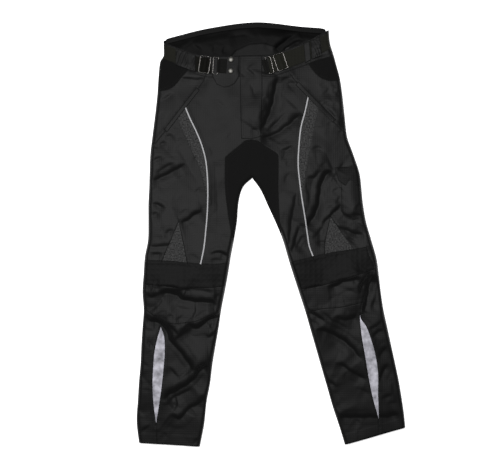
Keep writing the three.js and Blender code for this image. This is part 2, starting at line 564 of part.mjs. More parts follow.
// A short loop of webbing that comes up over the ring's bar from its sewn end.
function addRingLoop({ at, ring, reach, towards }) {
  const { centre, size, bar, turn } = BUCKLES.find((buckle) => buckle.at === ring);
  const end = size[0] / 2;
  const over = BAR_HEIGHT + GAP;
  const step = end + 2 * GAP;
  const foot = step + LOOP_SLOPE;
  const back = end - bar - 2 * GAP;
  const lower = [[end + reach, 0], [foot, 0], [step, over], [back, over]];
  const upper = [[back, over], [step, over], [foot + LOOP_SLOPE, 0], [end + reach, 0]]
    .map(([x, z]) => [x, z + LOOP_WALL]);
  const profile = [...lower, ...upper].map(([x, z]) => new THREE.Vector2(towards * x, z));
  const width = size[1] - 2 * (bar + LOOP_EASE);
  const shape = new THREE.ExtrudeGeometry(new THREE.Shape(profile), { depth: width, bevelEnabled: false });
  shape.rotateX(Math.PI / 2);
  shape.translate(0, width / 2, 0);
  const height = topOf(LAYERS.one, ...centre, size[1]) + GAP;
  add(`ring_loop_${at}`, shape, "webbing", { position: [...centre, height], turn });
}

function addSnap({ at, centre }) {
  const profile = SNAP_SECTION.map(([x, z]) => new THREE.Vector2((x * SNAP) / 2, z * SNAP_HEIGHT));
  const shape = new THREE.LatheGeometry(profile, SNAP_SIDES);
  shape.rotateX(Math.PI / 2);
  const height = topOf(LAYERS.one, ...centre, SNAP) + GAP;
  add(`snap_${at}`, shape, "metal", { position: [...centre, height] });
}

function addPiping(side, seams, welt) {
  const strip = onFront("one", ribbon(seams.piping, PIPING));
  add(`piping_${side}`, strip.subtract(prism(ribbon(welt, WELT + 2 * GAP))), "piping");
}

addHalf("right", RIGHT_SEAMS, RIGHT_PIECES);
addHalf("left", LEFT_SEAMS, LEFT_PIECES);
addLining();
addPiping("right", RIGHT_SEAMS, WELT_RIGHT);
addPiping("left", LEFT_SEAMS, WELT_LEFT);
add("pocket_welt_right", onFront("one", ribbon(WELT_RIGHT, WELT)), "cloth");
add("pocket_welt_left", onFront("one", ribbon(WELT_LEFT, WELT)), "cloth");
add("fly_flap", onFront("one", FLY_FLAP), "front_cloth");
add("front_tab", onFront("one", FRONT_TAB), "front_cloth");
add("belt_strap_right", onFront("one", STRAP_RIGHT), "webbing");
add("belt_strap_left", onFront("one", STRAP_LEFT), "webbing");
add("belt_keeper_left", onFront("two", KEEPER_LEFT), "cloth");
add("cargo_pocket", onFront("one", POCKET_BAG), "cloth");
add("cargo_flap", onFront("two", POCKET_FLAP), "cloth");
CASINGS.forEach(addCasing);
BUCKLES.forEach(addBuckle);
RING_LOOPS.forEach(addRingLoop);
SNAPS.forEach(addSnap);

export default group;
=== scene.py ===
# Motorcycle trousers laid flat on their back on a pale floor, seen from straight above.
import math

import bpy
import numpy as np
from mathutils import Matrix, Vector
from mathutils.geometry import delaunay_2d_cdt


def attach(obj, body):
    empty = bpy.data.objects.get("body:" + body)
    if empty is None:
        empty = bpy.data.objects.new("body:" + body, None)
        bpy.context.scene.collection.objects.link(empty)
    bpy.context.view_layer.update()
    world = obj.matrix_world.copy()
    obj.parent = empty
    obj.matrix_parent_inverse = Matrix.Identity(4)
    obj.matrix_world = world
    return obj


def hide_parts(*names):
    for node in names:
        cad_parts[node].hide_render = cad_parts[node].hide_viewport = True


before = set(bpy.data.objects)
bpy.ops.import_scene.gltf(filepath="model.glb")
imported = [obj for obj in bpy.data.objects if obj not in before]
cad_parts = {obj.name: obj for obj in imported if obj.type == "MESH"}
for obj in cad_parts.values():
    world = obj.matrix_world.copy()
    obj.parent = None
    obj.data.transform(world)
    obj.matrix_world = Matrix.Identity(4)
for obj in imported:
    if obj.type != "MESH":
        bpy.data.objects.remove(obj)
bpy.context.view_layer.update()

# Sizes. The plan is in millimetres, as on the cut pattern, and MM brings it into metres.
MM = 0.001
SIDE_HEIGHT = 9.0  # the side seams above the floor, on the front
BACK_SIDE_HEIGHT = 8.7
EDGE_ROUND = 11.0  # reach of the front's rounded edge, in from a side seam
BACK_ROUND = 6.0
CENTRE = -48.0  # x of the centre seam
CLOTH = 1.6  # thickness of a panel
BACK_CLOTH = 2.5
GRID = 2.5  # spacing of a front panel's points
BACK_GRID = 9.0
PATCH_GRID = 2.4

# Sections from the waist to the hem: on the right half the side seam and the centre seam or inside leg,
# the same on the left half, and the lift of the front above the side seam.
SECTIONS = [
    ("top", (-275, 553), (-48, 564), (148, 564), (-48, 564), 10),
    ("back_rise", (-275, 518), (-48, 523), (148, 528), (-48, 523), 10),
    ("waist", (-275, 484), (-48, 472), (151, 492), (-48, 472), 13),
    ("belt", (-275, 459), (-48, 431), (160, 462), (-48, 431), 14),
    ("hip_step", (-284, 442), (-48, 400), (168, 433), (-48, 400), 15),
    ("hip", (-288, 405), (-48, 360), (177, 398), (-48, 360), 15),
    ("pocket", (-291, 360), (-48, 319), (183, 357), (-48, 319), 16),
    ("seat", (-296, 314), (-48, 273), (188, 311), (-48, 273), 17),
    ("rise", (-303, 258), (-48, 217), (195, 252), (-48, 217), 17),
    ("gusset", (-309, 207), (-48, 181), (209, 212), (-48, 181), 17),
    ("crotch", (-311, 156), (-48, 146), (226, 161), (-48, 146), 17),
    ("upper_thigh", (-312, 120), (-72, 122), (231, 125), (-26, 115), 17),
    ("mid_thigh", (-314, 79), (-83, 84), (235, 84), (-8, 76), 18),
    ("low_thigh", (-314, 33), (-87, 36), (243, 36), (14, 28), 18),
    ("over_knee", (-315, -13), (-95, -13), (257, -13), (31, -15), 19),
    ("knee_top", (-323, -56), (-103, -56), (270, -59), (46, -66), 21),
    ("knee", (-326, -99), (-110, -99), (276, -102), (60, -110), 21),
    ("knee_foot", (-329, -145), (-118, -143), (281, -145), (74, -153), 20),
    ("under_knee", (-326, -191), (-127, -189), (288, -191), (88, -196), 17),
    ("upper_shin", (-329, -237), (-134, -237), (298, -237), (102, -245), 16),
    ("mid_shin", (-332, -283), (-142, -283), (308, -283), (116, -293), 15),
    ("low_shin", (-334, -329), (-150, -332), (318, -329), (130, -342), 14),
    ("calf_foot", (-338, -375), (-156, -380), (327, -372), (144, -390), 13),
    ("over_ankle", (-341, -423), (-165, -428), (334, -413), (158, -439), 13),
    ("ankle", (-344, -477), (-171, -484), (340, -454), (175, -490), 12),
    ("hem", (-338, -531), (-182, -541), (344, -492), (189, -536), 11),
]

# Seams of the front, each with the side that its allowance is pressed to: 1 is the left of the run.
RIGHT_SEAMS = {
    "band_foot": (1, [(-309, 454), (-278, 450), (-252, 440), (-219, 425), (-191, 411), (-166, 403),
                      (-117, 402), (-71, 405), (-28, 407)]),
    "pocket_seam": (-1, [(-165, 408), (-181, 380), (-214, 333), (-242, 297), (-273, 260), (-301, 224),
                         (-326, 191)]),
    "stretch": (-1, [(-207, 426), (-217, 414), (-229, 400), (-247, 380), (-265, 370), (-288, 367),
                     (-314, 367)]),
    "piping": (1, [(-220, 330), (-207, 298), (-191, 265), (-178, 233), (-168, 198), (-163, 161),
                   (-161, 115), (-162, 64), (-166, 13), (-171, -33), (-180, -77)]),
    "crescent": (1, [(-239.5, 302), (-237, 293), (-224, 263), (-204, 219), (-186, 181), (-173, 140),
                     (-160.8, 84)]),
    "insert_outer": (1, [(-278, -67.5), (-234.5, 34)]),
    "insert_inner": (-1, [(-214, -72), (-235.2, 34)]),
    "gusset": (1, [(-44, 242), (-64, 241), (-79, 229), (-113, 201), (-117, 189), (-117, 125),
                   (-110, 56), (-92, -45)]),
    "knee_top": (-1, [(-345, -65), (-270, -65), (-214, -70), (-168, -75), (-135, -74), (-98, -67)]),
    "knee_foot": (1, [(-350, -125), (-278, -130), (-227, -136), (-168, -135), (-98, -130)]),
    "cap_foot": (1, [(-347, -184), (-321, -191), (-296, -209), (-278, -221), (-252, -227),
                     (-217, -224), (-181, -217), (-108, -182)]),
    "reflector_outer": (-1, [(-277, -219.5), (-291, -268), (-298, -306), (-301, -349), (-302, -390),
                             (-299, -436), (-293, -482), (-291, -513), (-289, -560)]),
    "reflector_inner": (1, [(-284, -229), (-273, -260), (-271, -298), (-274, -339), (-279, -388),
                            (-286, -436), (-295, -491)]),
}
LEFT_SEAMS = {
    "band_foot": (1, [(-69, 407), (-23, 405), (8, 405), (43, 417), (82, 431), (125, 448),
                      (163, 456), (189, 462)]),
    "pocket_seam": (1, [(41, 423), (61, 393), (89, 363), (120, 330), (150, 297), (176, 273),
                        (212, 240)]),
    "stretch": (1, [(94, 440), (102, 427), (115, 411), (130, 399), (150, 393), (171, 394),
                    (199, 395)]),
    "piping": (-1, [(96, 358), (87, 316), (76, 273), (71, 227), (69, 178), (73, 135), (79, 89),
                    (87, 41), (93, -3), (98, -31), (109, -59)]),
    "crescent": (-1, [(123.5, 330), (119, 316), (111, 280), (101, 229), (92, 178), (84, 127),
                      (77, 86)]),
    "insert_outer": (-1, [(212, -40), (151.5, 46)]),
    "insert_inner": (1, [(138, -50), (138, -20), (152.3, 46)]),
    "gusset": (-1, [(-52, 242), (-33, 240), (-13, 226), (15, 208), (19, 191), (19, 115), (21, 59),
                    (25, 10), (28, -30)]),
    "knee_top": (-1, [(30, -74), (105, -56), (150, -45), (194, -38), (232, -32), (290, -19)]),
    "knee_foot": (1, [(55, -140), (112, -133), (158, -121), (207, -106), (242, -94), (264, -87)]),
    "cap_foot": (1, [(75, -203), (130, -189), (176, -185), (222, -175), (237, -171)]),
    "reflector_outer": (1, [(243, -28), (250, -56), (262, -80), (255, -110), (240, -145),
                            (227, -204), (242, -232), (256, -270), (267, -311), (273, -357),
                            (273, -408), (275, -467), (278, -530)]),
    "reflector_inner": (-1, [(232, -201), (226.5, -207), (231, -258), (240, -309), (252, -380),
                             (263, -428), (277, -476)]),
}

# A point inside each cut piece of the front, and its finish.
RIGHT_PIECES = {
    "waistband_front": (-210, 445), "hip_front": (-260, 330), "hip_stretch": (-265, 410),
    "front_centre": (-110, 300), "crescent_insert": (-190, 225), "side_thigh": (-250, 150),
    "thigh_insert": (-235, -30), "crotch_gusset": (-80, 150), "knee_band": (-200, -105),
    "shin_top": (-200, -180), "shin_inner": (-200, -350), "reflector": (-285, -350),
    "shin_outer": (-318, -350),
}
LEFT_PIECES = {
    "waistband_front": (60, 450), "hip_front": (140, 340), "hip_stretch": (145, 425),
    "front_centre": (30, 300), "crescent_insert": (88, 225), "side_thigh": (150, 150),
    "thigh_insert": (155, -10), "crotch_gusset": (-20, 150), "knee_band": (150, -90),
    "shin_top": (150, -150), "shin_inner": (180, -350), "reflector": (258, -340),
    "shin_outer": (300, -350),
}
PIECE_FINISH = {
    "waistband_front": "front_cloth", "hip_front": "cloth", "hip_stretch": "stretch",
    "front_centre": "front_cloth", "crescent_insert": "insert", "side_thigh": "cloth",
    "thigh_insert": "insert", "crotch_gusset": "suede", "knee_band": "band",
    "shin_top": "front_cloth", "shin_inner": "front_cloth", "reflector": "reflector",
    "shin_outer": "front_cloth",
}

FRONT_WAIST = [(-296, 498), (-275, 491), (-227, 474), (-181, 460), (-125, 456), (-71, 458),
               (-23, 459), (8, 462), (38, 473), (87, 492), (135, 517), (175, 540)]
BACK_WAIST = [(-309, 485), (-275, 497), (-265, 504), (-232, 513), (-181, 526), (-127, 536),
              (-79, 543), (-33, 546), (10, 543), (74, 535), (133, 530), (142, 521), (160, 496)]
BACK_BAND_FOOT = [(-315, 433), (-275, 445), (-181, 470), (-33, 488), (74, 480), (175, 459)]

# Folds of the front: points of each crease, the rise of the cloth from it towards the lamp, and how wide
# the falling face is at the start and at the end of the run.
FOLDS = [
    ([(161, 166), (143, 157), (133, 142), (126, 122),
      (123, 100), (120, 75), (110, 49), (99, 33), (87, 14)], 6.7, 3.0, 5.4),
    ([(168, 163), (158, 142), (150, 127)], 4.2, 3.4, 2.5),
    ([(178, 122), (163, 115), (153, 102)], 3.0, 2.5, 3.4),
    ([(177, 107), (172, 91), (161, 76)], 2.4, 3.4, 2.5),
    ([(181, 84), (169, 66), (154, 52), (141, 38), (127, 24)], 4.8, 2.9, 3.9),
    ([(138, 36), (127, 13), (112, -3), (102, -15)], 2.4, 4.6, 3.4),
    ([(180, 69), (187, 52), (207, 42), (219, 34)], 3.6, 2.2, 3.0),
    ([(196, 50), (216, 51), (242, 47)], 3.6, 3.9, 2.9),
    ([(209, 61), (221, 73), (231, 89)], 3.0, 2.7, 3.7),
    ([(209, 40), (231, 22), (250, 8)], 3.6, 3.4, 2.5),
    ([(159, 24), (194, 11), (216, 2), (242, 3)], 4.2, 4.2, 5.8),
    ([(185, -1), (201, -11), (224, -23)], 4.2, 4.6, 3.4),
    ([(173, -14), (207, -29)], 2.2, 2.5, 3.4),
    ([(110, -17), (143, -18), (177, -11)], 2.4, 3.4, 2.5),
    ([(125, 20), (123, -8), (125, -38)], 2.4, 5.5, 7.5),
    ([(84, 144), (110, 147), (121, 159), (134, 173)], 3.8, 4.1, 3.1),
    ([(124, 176), (144, 186)], 1.7, 2.5, 3.4),
    ([(40, 217), (32, 201), (27, 184)], 1.9, 3.4, 2.5),
    ([(46, 194), (37, 173)], 1.9, 2.2, 3.0),
    ([(54, 166), (38, 145), (33, 122)], 1.7, 4.6, 3.4),
    ([(65, 112), (58, 71), (52, 35), (48, -2), (43, -43)], 3.1, 3.4, 4.6),
    ([(78, 33), (65, -2), (58, -27), (45, -54)], 3.1, 3.7, 2.7),
    ([(85, 8), (70, -24), (60, -45)], 3.6, 3.6, 4.8),
    ([(91, -10), (76, -35), (68, -51)], 2.6, 4.6, 3.4),
    ([(85, 143), (96, 105), (98, 74)], 2.4, 5.1, 6.9),
    ([(79, 66), (89, 52), (92, 36)], 1.9, 4.6, 3.4),
    ([(140, -135), (163, -130), (182, -119), (205, -114), (232, -109)], 5.3, 4.4, 2.4),
    ([(76, -143), (106, -132), (135, -129)], 2.6, 3.2, 2.4),
    ([(255, -89), (244, -107), (232, -129), (223, -153)], 7.8, 3.6, 4.8),
    ([(260, -97), (251, -125), (245, -156), (235, -203)], 7.8, 3.8, 5.4),
    ([(84, -187), (102, -198), (122, -209), (142, -222)], 6.2, 2.6, 3.4),
    ([(124, -190), (150, -214), (173, -226), (200, -240)], 3.1, 5.8, 4.2),
    ([(110, -241), (141, -246), (163, -257), (182, -268), (205, -287), (232, -320)], 6.0, 3.6, 6.4),
    ([(156, -207), (181, -215), (207, -213), (223, -194)], 5.0, 3.4, 6.4),
    ([(246, -240), (265, -233), (288, -214)], 3.1, 2.9, 3.9),
    ([(255, -269), (264, -254), (275, -245), (293, -241)], 4.3, 4.4, 3.2),
    ([(272, -319), (281, -301), (300, -280)], 3.6, 2.7, 3.7),
    ([(252, -199), (266, -158)], 1.8, 3.4, 2.5),
    ([(162, -326), (186, -335), (205, -349), (224, -359), (245, -370)], 3.8, 3.1, 4.1),
    ([(204, -325), (237, -354)], 1.8, 3.7, 2.7),
    ([(136, -366), (153, -376), (175, -391)], 3.6, 2.0, 2.8),
    ([(134, -321), (147, -362)], 2.6, 4.8, 3.6),
    ([(144, -388), (160, -424), (177, -456)], 4.3, 3.7, 5.1),
    ([(207, -386), (240, -399), (256, -411)], 1.9, 4.6, 3.4),
    ([(164, -464), (201, -465), (233, -465), (265, -464), (297, -464), (332, -455)], 3.8, 4.2, 5.8),
    ([(209, -468), (222, -476), (233, -484)], 2.4, 4.1, 3.1),
    ([(272, -382), (284, -351), (301, -325)], 4.8, 3.1, 4.1),
    ([(277, -420), (312, -404)], 3.6, 4.8, 3.6),
    ([(293, -429), (324, -426)], 1.9, 2.7, 3.7),
    ([(309, -372), (312, -411)], 1.8, 2.8, 2.0),
    ([(19, 409), (10, 373), (5, 341), (-3, 315), (-14, 287), (-31, 258)], 7.2, 4.4, 7.4),
    ([(23, 382), (33, 397), (48, 402), (66, 409)], 3.1, 4.4, 3.2),
    ([(33, 381), (51, 388), (71, 385)], 2.2, 2.5, 3.4),
    ([(-31, 245), (7, 256), (32, 272), (54, 289), (79, 314)], 6.0, 3.6, 9.0),
    ([(-22, 255), (14, 287), (42, 319)], 1.9, 2.5, 3.4),
    ([(17, 217), (39, 218), (52, 226), (66, 229)], 3.6, 3.0, 2.2),
    ([(97, 215), (112, 222), (125, 221), (143, 207)], 2.9, 3.4, 4.6),
    ([(108, 288), (122, 274), (138, 273)], 2.4, 3.7, 2.7),
    ([(120, 354), (141, 363), (149, 384)], 2.4, 3.1, 4.1),
    ([(127, 334), (157, 340)], 2.9, 3.0, 2.2),
    ([(122, 340), (138, 325), (157, 306), (171, 289)], 3.1, 2.2, 3.0),
    ([(154, 334), (173, 337)], 2.4, 3.0, 2.2),
    ([(152, 365), (166, 375)], 2.4, 2.2, 3.0),
    ([(166, 351), (176, 374)], 3.6, 3.4, 2.5),
    ([(186, 321), (179, 288), (182, 260)], 4.8, 2.7, 3.7),
    ([(168, 265), (190, 260)], 2.4, 3.0, 2.2),
    ([(140, 287), (161, 283)], 1.8, 2.2, 3.0),
    ([(194, 209), (215, 186)], 2.6, 4.6, 3.4),
    ([(167, 159), (177, 173), (189, 189)], 3.6, 2.5, 3.4),
    ([(190, 177), (227, 171)], 2.9, 3.4, 2.5),
    ([(-24, 347), (-6, 348)], 2.2, 1.7, 2.3),
    ([(-26, 318), (-11, 311)], 2.2, 2.3, 1.7),
    ([(-291, 338), (-270, 349), (-244, 365)], 2.9, 2.5, 3.4),
    ([(-223, 432), (-207, 424), (-194, 412)], 3.1, 3.0, 2.2),
    ([(-235, 401), (-194, 397), (-158, 399)], 3.1, 2.2, 3.0),
    ([(-180, 402), (-175, 389), (-162, 387)], 2.4, 3.0, 2.2),
    ([(-152, 352), (-130, 335), (-110, 326)], 1.8, 4.2, 5.8),
    ([(-289, 219), (-278, 233), (-261, 240)], 3.6, 3.0, 2.2),
    ([(-274, 249), (-244, 257)], 2.9, 2.5, 3.4),
    ([(-263, 272), (-224, 269)], 1.8, 3.4, 2.5),
    ([(-306, 241), (-289, 217)], 3.6, 2.5, 3.4),
    ([(-166, 231), (-149, 212), (-157, 193)], 1.8, 5.8, 4.2),
    ([(-69, 432), (-59, 421), (-47, 411), (-33, 401)], 3.6, 2.5, 3.4),
    ([(-83, 440), (-79, 413), (-59, 403)], 2.9, 5.1, 3.7),
    ([(-56, 394), (-44, 363), (-36, 342)], 2.4, 4.2, 5.8),
    ([(-56, 267), (-28, 270)], 2.4, 3.0, 2.2),
    ([(-59, 196), (-63, 172), (-56, 152)], 2.6, 2.4, 3.2),
    ([(-48, 176), (-54, 145)], 2.2, 2.8, 2.0),
    ([(-76, 186), (-73, 163)], 1.4, 2.0, 2.8),
    ([(-309, 184), (-286, 196), (-268, 202)], 4.2, 4.1, 3.1),
    ([(-301, 172), (-277, 186)], 1.9, 2.4, 3.2),
    ([(-297, 153), (-270, 172), (-240, 187)], 2.6, 4.1, 3.1),
    ([(-309, 135), (-277, 148), (-258, 158), (-238, 169), (-212, 184)], 4.4, 6.4, 3.4),
    ([(-214, 166), (-231, 138)], 1.3, 5.1, 3.7),
    ([(-310, 113), (-288, 121)], 2.4, 2.7, 3.7),
    ([(-310, 83), (-286, 76), (-265, 65)], 5.4, 4.8, 3.6),
    ([(-309, 48), (-282, 59)], 3.0, 2.7, 3.7),
    ([(-236, 27), (-210, 40), (-194, 53), (-170, 63)], 4.8, 4.1, 3.1),
    ([(-315, -29), (-286, -29), (-264, -26), (-250, -15)], 4.8, 4.2, 5.8),
    ([(-314, -39), (-299, -48), (-268, -48)], 3.0, 3.0, 2.2),
    ([(-275, 0), (-258, 11), (-240, 9)], 3.0, 2.7, 3.7),
    ([(-161, -49), (-136, -44), (-124, -46), (-102, -59)], 4.8, 3.0, 2.2),
    ([(-159, -64), (-110, -64)], 1.8, 3.4, 4.6),
    ([(-144, 196), (-137, 89), (-133, 3)], 1.2, 9.2, 6.8),
    ([(-198, 103), (-177, 125)], 1.8, 2.5, 3.4),
    ([(-321, -145), (-312, -154), (-302, -158), (-292, -154), (-280, -148)], 8.4, 8.0, 5.0),
    ([(-293, -148), (-260, -148), (-238, -154), (-226, -163), (-191, -168), (-138, -172)], 7.2, 5.2, 2.4),
    ([(-229, -138), (-194, -139), (-165, -143), (-138, -145)], 2.4, 5.8, 4.2),
    ([(-147, -162), (-129, -148)], 3.6, 2.5, 3.4),
    ([(-122, -153), (-127, -168), (-136, -186)], 3.6, 5.3, 3.9),
    ([(-324, -200), (-310, -217), (-298, -221),
      (-283, -225), (-273, -236), (-261, -255), (-250, -273)], 7.8, 6.0, 4.6),
    ([(-268, -219), (-252, -238), (-237, -254), (-229, -270)], 3.6, 2.6, 4.0),
    ([(-269, -256), (-250, -278), (-236, -292), (-216, -319), (-196, -349)], 5.5, 4.2, 5.8),
    ([(-221, -201), (-234, -212), (-245, -221)], 3.0, 3.0, 2.2),
    ([(-293, -199), (-261, -193)], 1.8, 2.5, 3.4),
    ([(-268, -208), (-245, -203)], 1.8, 3.4, 2.5),
    ([(-217, -223), (-199, -235), (-184, -236),
      (-172, -226), (-161, -218), (-143, -210), (-125, -195)], 7.2, 5.6, 3.6),
    ([(-173, -250), (-159, -259), (-148, -254), (-138, -241)], 4.8, 3.2, 4.2),
    ([(-161, -242), (-143, -217)], 3.0, 2.2, 3.0),
    ([(-223, -229), (-229, -247), (-221, -270)], 1.8, 5.8, 4.2),
    ([(-158, -276), (-139, -268)], 1.8, 2.5, 3.4),
    ([(-321, -259), (-307, -283), (-296, -295)], 3.6, 4.1, 3.1),
    ([(-264, -332), (-245, -354), (-227, -371)], 3.1, 2.7, 3.7),
    ([(-153, -334), (-171, -337), (-182, -347), (-196, -366),
      (-214, -381), (-237, -395), (-258, -406), (-277, -422)], 6.2, 3.6, 6.6),
    ([(-193, -388), (-222, -403), (-245, -414), (-266, -430)], 3.1, 3.6, 4.8),
    ([(-284, -433), (-248, -433), (-227, -446)], 2.4, 4.6, 3.4),
    ([(-260, -455), (-238, -469), (-222, -459), (-207, -441), (-187, -433), (-162, -408)], 4.3, 4.2, 5.8),
    ([(-190, -436), (-163, -442)], 1.9, 3.7, 2.7),
    ([(-340, -439), (-324, -465)], 3.6, 2.7, 3.7),
    ([(-338, -504), (-318, -492), (-306, -479)], 3.1, 3.0, 2.2),
    ([(-334, -346), (-325, -377)], 3.6, 2.7, 3.7),
    ([(-333, -320), (-309, -337)], 2.4, 3.7, 2.7),
    ([(-334, -391), (-301, -398)], 1.9, 2.7, 3.7),
    ([(-277, -502), (-261, -518)], 1.8, 2.8, 2.0),
    ([(-203, -538), (-178, -511)], 3.1, 3.4, 4.6),
    ([(97, 466), (120, 473), (145, 480)], 2.6, 2.4, 3.0),
    ([(102, 453), (125, 461), (150, 465)], 2.6, 2.4, 3.0),
    ([(-303, -134), (-262, -130), (-222, -139)], 1.8, 1.8, 2.2),
    ([(-290, -142), (-240, -141), (-200, -137)], 1.6, 1.8, 2.2),
]

# Folds of the lining inside the waist, given in the same way.
LINING_FOLDS = [
    ([(2, 468), (32, 494), (70, 520)], 3.8, 4.0, 6.0),
    ([(24, 464), (52, 488), (84, 502)], 3.2, 3.0, 4.0),
    ([(-22, 474), (-6, 496), (12, 516)], 1.6, 4.0, 5.0),
    ([(50, 470), (78, 492), (104, 508)], 1.8, 3.0, 4.0),
    ([(-205, 494), (-188, 480), (-170, 466)], 2.4, 3.0, 4.0),
    ([(-232, 478), (-214, 486), (-194, 502)], 1.8, 3.0, 4.0),
    ([(-152, 462), (-147, 476), (-144, 490)], 2.2, 3.0, 3.0),
    ([(-126, 458), (-121, 474), (-116, 490)], 2.2, 3.0, 3.0),
    ([(-112, 506), (-76, 514), (-40, 507)], 2.0, 6.0, 8.0),
]

# Outlines of what lies on the panels, and of the lining.
FLY_FLAP = [(-78, 457.5), (-22.5, 458), (-22, 395), (-23, 319), (-26, 250), (-51, 244), (-76, 245),
            (-78, 319), (-79, 395)]
FRONT_TAB = [(-150, 456), (-80.5, 456.5), (-80.5, 405), (-92, 386), (-106, 378), (-120, 376),
             (-138, 383), (-150, 404)]
STRAP_RIGHT = [(-277, 486), (-252, 478), (-219, 466), (-189, 455), (-152, 450), (-152, 411),
               (-189, 416), (-219, 428), (-252, 441), (-277, 450)]
STRAP_LEFT = [(-8, 453), (31, 464), (74, 481), (115, 499), (138, 511), (150, 514), (158, 478),
              (140, 469), (115, 456), (79, 439), (43, 425), (-3, 411)]
KEEPER_LEFT = [(83, 488), (98, 495), (102, 446), (87, 438)]
CASING_RIGHT = [(-243, 476), (-192, 458), (-192, 414), (-243, 433)]
CASING_LEFT = [(100, 496), (124, 506), (130, 457), (104, 447)]
POCKET_BAG = [(177, 164), (232, 168), (243, 48), (207, 37), (188, 45), (179, 60)]
POCKET_FLAP = [(161, 172), (231, 176), (238, 124), (189, 124), (171, 139)]
FACING = 13  # height of the back waistband's inside that shows above the lining
WELT_RIGHT = [(-186, 373), (-269, 265)]
WELT_LEFT = [(66, 387), (161, 290)]
WELT_WIDTH = 11.0
PIPING = 3.2
PIPING_CUT = 0.01  # in metres, with the allowance in the seam
LINING_DOME = [(-150, 382), (-118, 440), (-88, 474), (-55, 490), (-20, 492), (10, 482), (34, 455),
               (60, 382)]


# Curves and distances in plan
def smooth(points, step):
    """Points at even steps along a smooth curve through the given ones."""
    through = np.array(points, float)
    if len(through) > 2:
        ends = [2 * through[0] - through[1], 2 * through[-1] - through[-2]]
        held = np.vstack([ends[:1], through, ends[1:]])
        share = np.linspace(0, 1, 12, endpoint=False)[:, None]
        spans = []
        for a, b, c, d in zip(held, held[1:], held[2:], held[3:]):
            spans.append(0.5 * (2 * b + (c - a) * share + (2 * a - 5 * b + 4 * c - d) * share ** 2
                                + (3 * b - a - 3 * c + d) * share ** 3))
        through = np.vstack(spans + [through[-1:]])
    return evenly(through, step)


def evenly(run, step):
    """The run of points again, with its points at even steps."""
    run = np.array(run, float)
    length = np.concatenate([[0], np.cumsum(np.hypot(*np.diff(run, axis=0).T))])
    count = max(int(round(length[-1] / step)), 1)
    at = np.linspace(0, length[-1], count + 1)
    return np.column_stack([np.interp(at, length, run[:, k]) for k in range(run.shape[1])])


def longer(run, reach):
    """The run with each end carried on by a short straight reach."""
    first = run[0] + (run[0] - run[1]) / np.hypot(*(run[0] - run[1])) * reach
    last = run[-1] + (run[-1] - run[-2]) / np.hypot(*(run[-1] - run[-2])) * reach
    return np.vstack([first, run, last])


def closed(outline, step):
    """A closed outline's points at even steps on each of its straight sides."""
    corners = np.array(outline, float)
    sides = [evenly([a, b], step)[:-1] for a, b in zip(corners, np.roll(corners, -1, axis=0))]
    return np.vstack(sides)


def beside(run, offset):
    """The run moved to its left, or to its right where the offset is below nought."""
    along = np.gradient(run, axis=0)
    along /= np.maximum(np.hypot(along[:, 0], along[:, 1]), 1e-6)[:, None]
    return run + offset * np.column_stack([-along[:, 1], along[:, 0]])


POINTS_AT_ONCE = 2000  # so that the tables of distances stay small
BLUR_ENDS = 12.0  # the blur fades out over this length towards the ends of a run


def near(points, run, reach, blur=0.0):
    """For the points within reach of a run: which they are, how far away, the side of the run (1 on
    its left), how far along it, and its length. With blur, in mm, the place along the run changes
    gently inside a bend, where the nearest place leaps from one arm of the run to the other."""
    close = (points > run.min(0) - reach) & (points < run.max(0) + reach)
    picked = np.flatnonzero(close.all(axis=1))
    start = run[:-1]
    step = run[1:] - start
    length = np.hypot(step[:, 0], step[:, 1])
    begun = np.concatenate([[0], np.cumsum(length)])
    away, side, along = [], [], []
    for part in np.array_split(points[picked], max(len(picked) // POINTS_AT_ONCE, 1)):
        gap = part[:, None] - start
        share = np.clip((gap * step).sum(2) / length ** 2, 0, 1)
        gap = gap - share[..., None] * step
        far = np.hypot(gap[..., 0], gap[..., 1])
        best = far.argmin(1)
        row = np.arange(len(part))
        away.append(far[row, best])
        side.append(np.sign(step[best, 0] * gap[row, best, 1] - step[best, 1] * gap[row, best, 0]))
        place = begun[:-1] + share * length
        nearest = place[row, best]
        if blur:
            weight = np.exp((far[row, best][:, None] - far) / blur)
            gentle = (weight * place).sum(1) / weight.sum(1)
            ends = np.minimum(nearest, begun[-1] - nearest)
            nearest = nearest + (gentle - nearest) * ease(ends / BLUR_ENDS)
        along.append(nearest)
    away, side, along = (np.concatenate(values) for values in (away, side, along))
    kept = away <= reach
    return picked[kept], away[kept], side[kept], along[kept], begun[-1]


def away_from(points, run, reach):
    """How far each point is from the run, with reach as the most."""
    away = np.full(len(points), float(reach))
    picked, distance, *_ = near(points, run, reach)
    away[picked] = distance
    return away


def within(points, outline):
    """Which points are inside a closed outline."""
    held = np.zeros(len(points), bool)
    for (ax, ay), (bx, by) in zip(outline, np.roll(outline, -1, axis=0)):
        if ay == by:
            continue
        crosses = (points[:, 1] < ay) != (points[:, 1] < by)
        at = ax + (points[:, 1] - ay) * (bx - ax) / (by - ay)
        held ^= crosses & (points[:, 0] < at)
    return held


def quarter(share):
    """A quarter round that rises from 0 to 1."""
    return np.sqrt(1 - (1 - np.clip(share, 0, 1)) ** 2)


def ease(share):
    """A gentle rise from 0 to 1."""
    share = np.clip(share, 0, 1)
    return share * share * (3 - 2 * share)


# The two halves of the garment in plan
STEP = 4.0
CROTCH = 10  # the first section of the inside leg


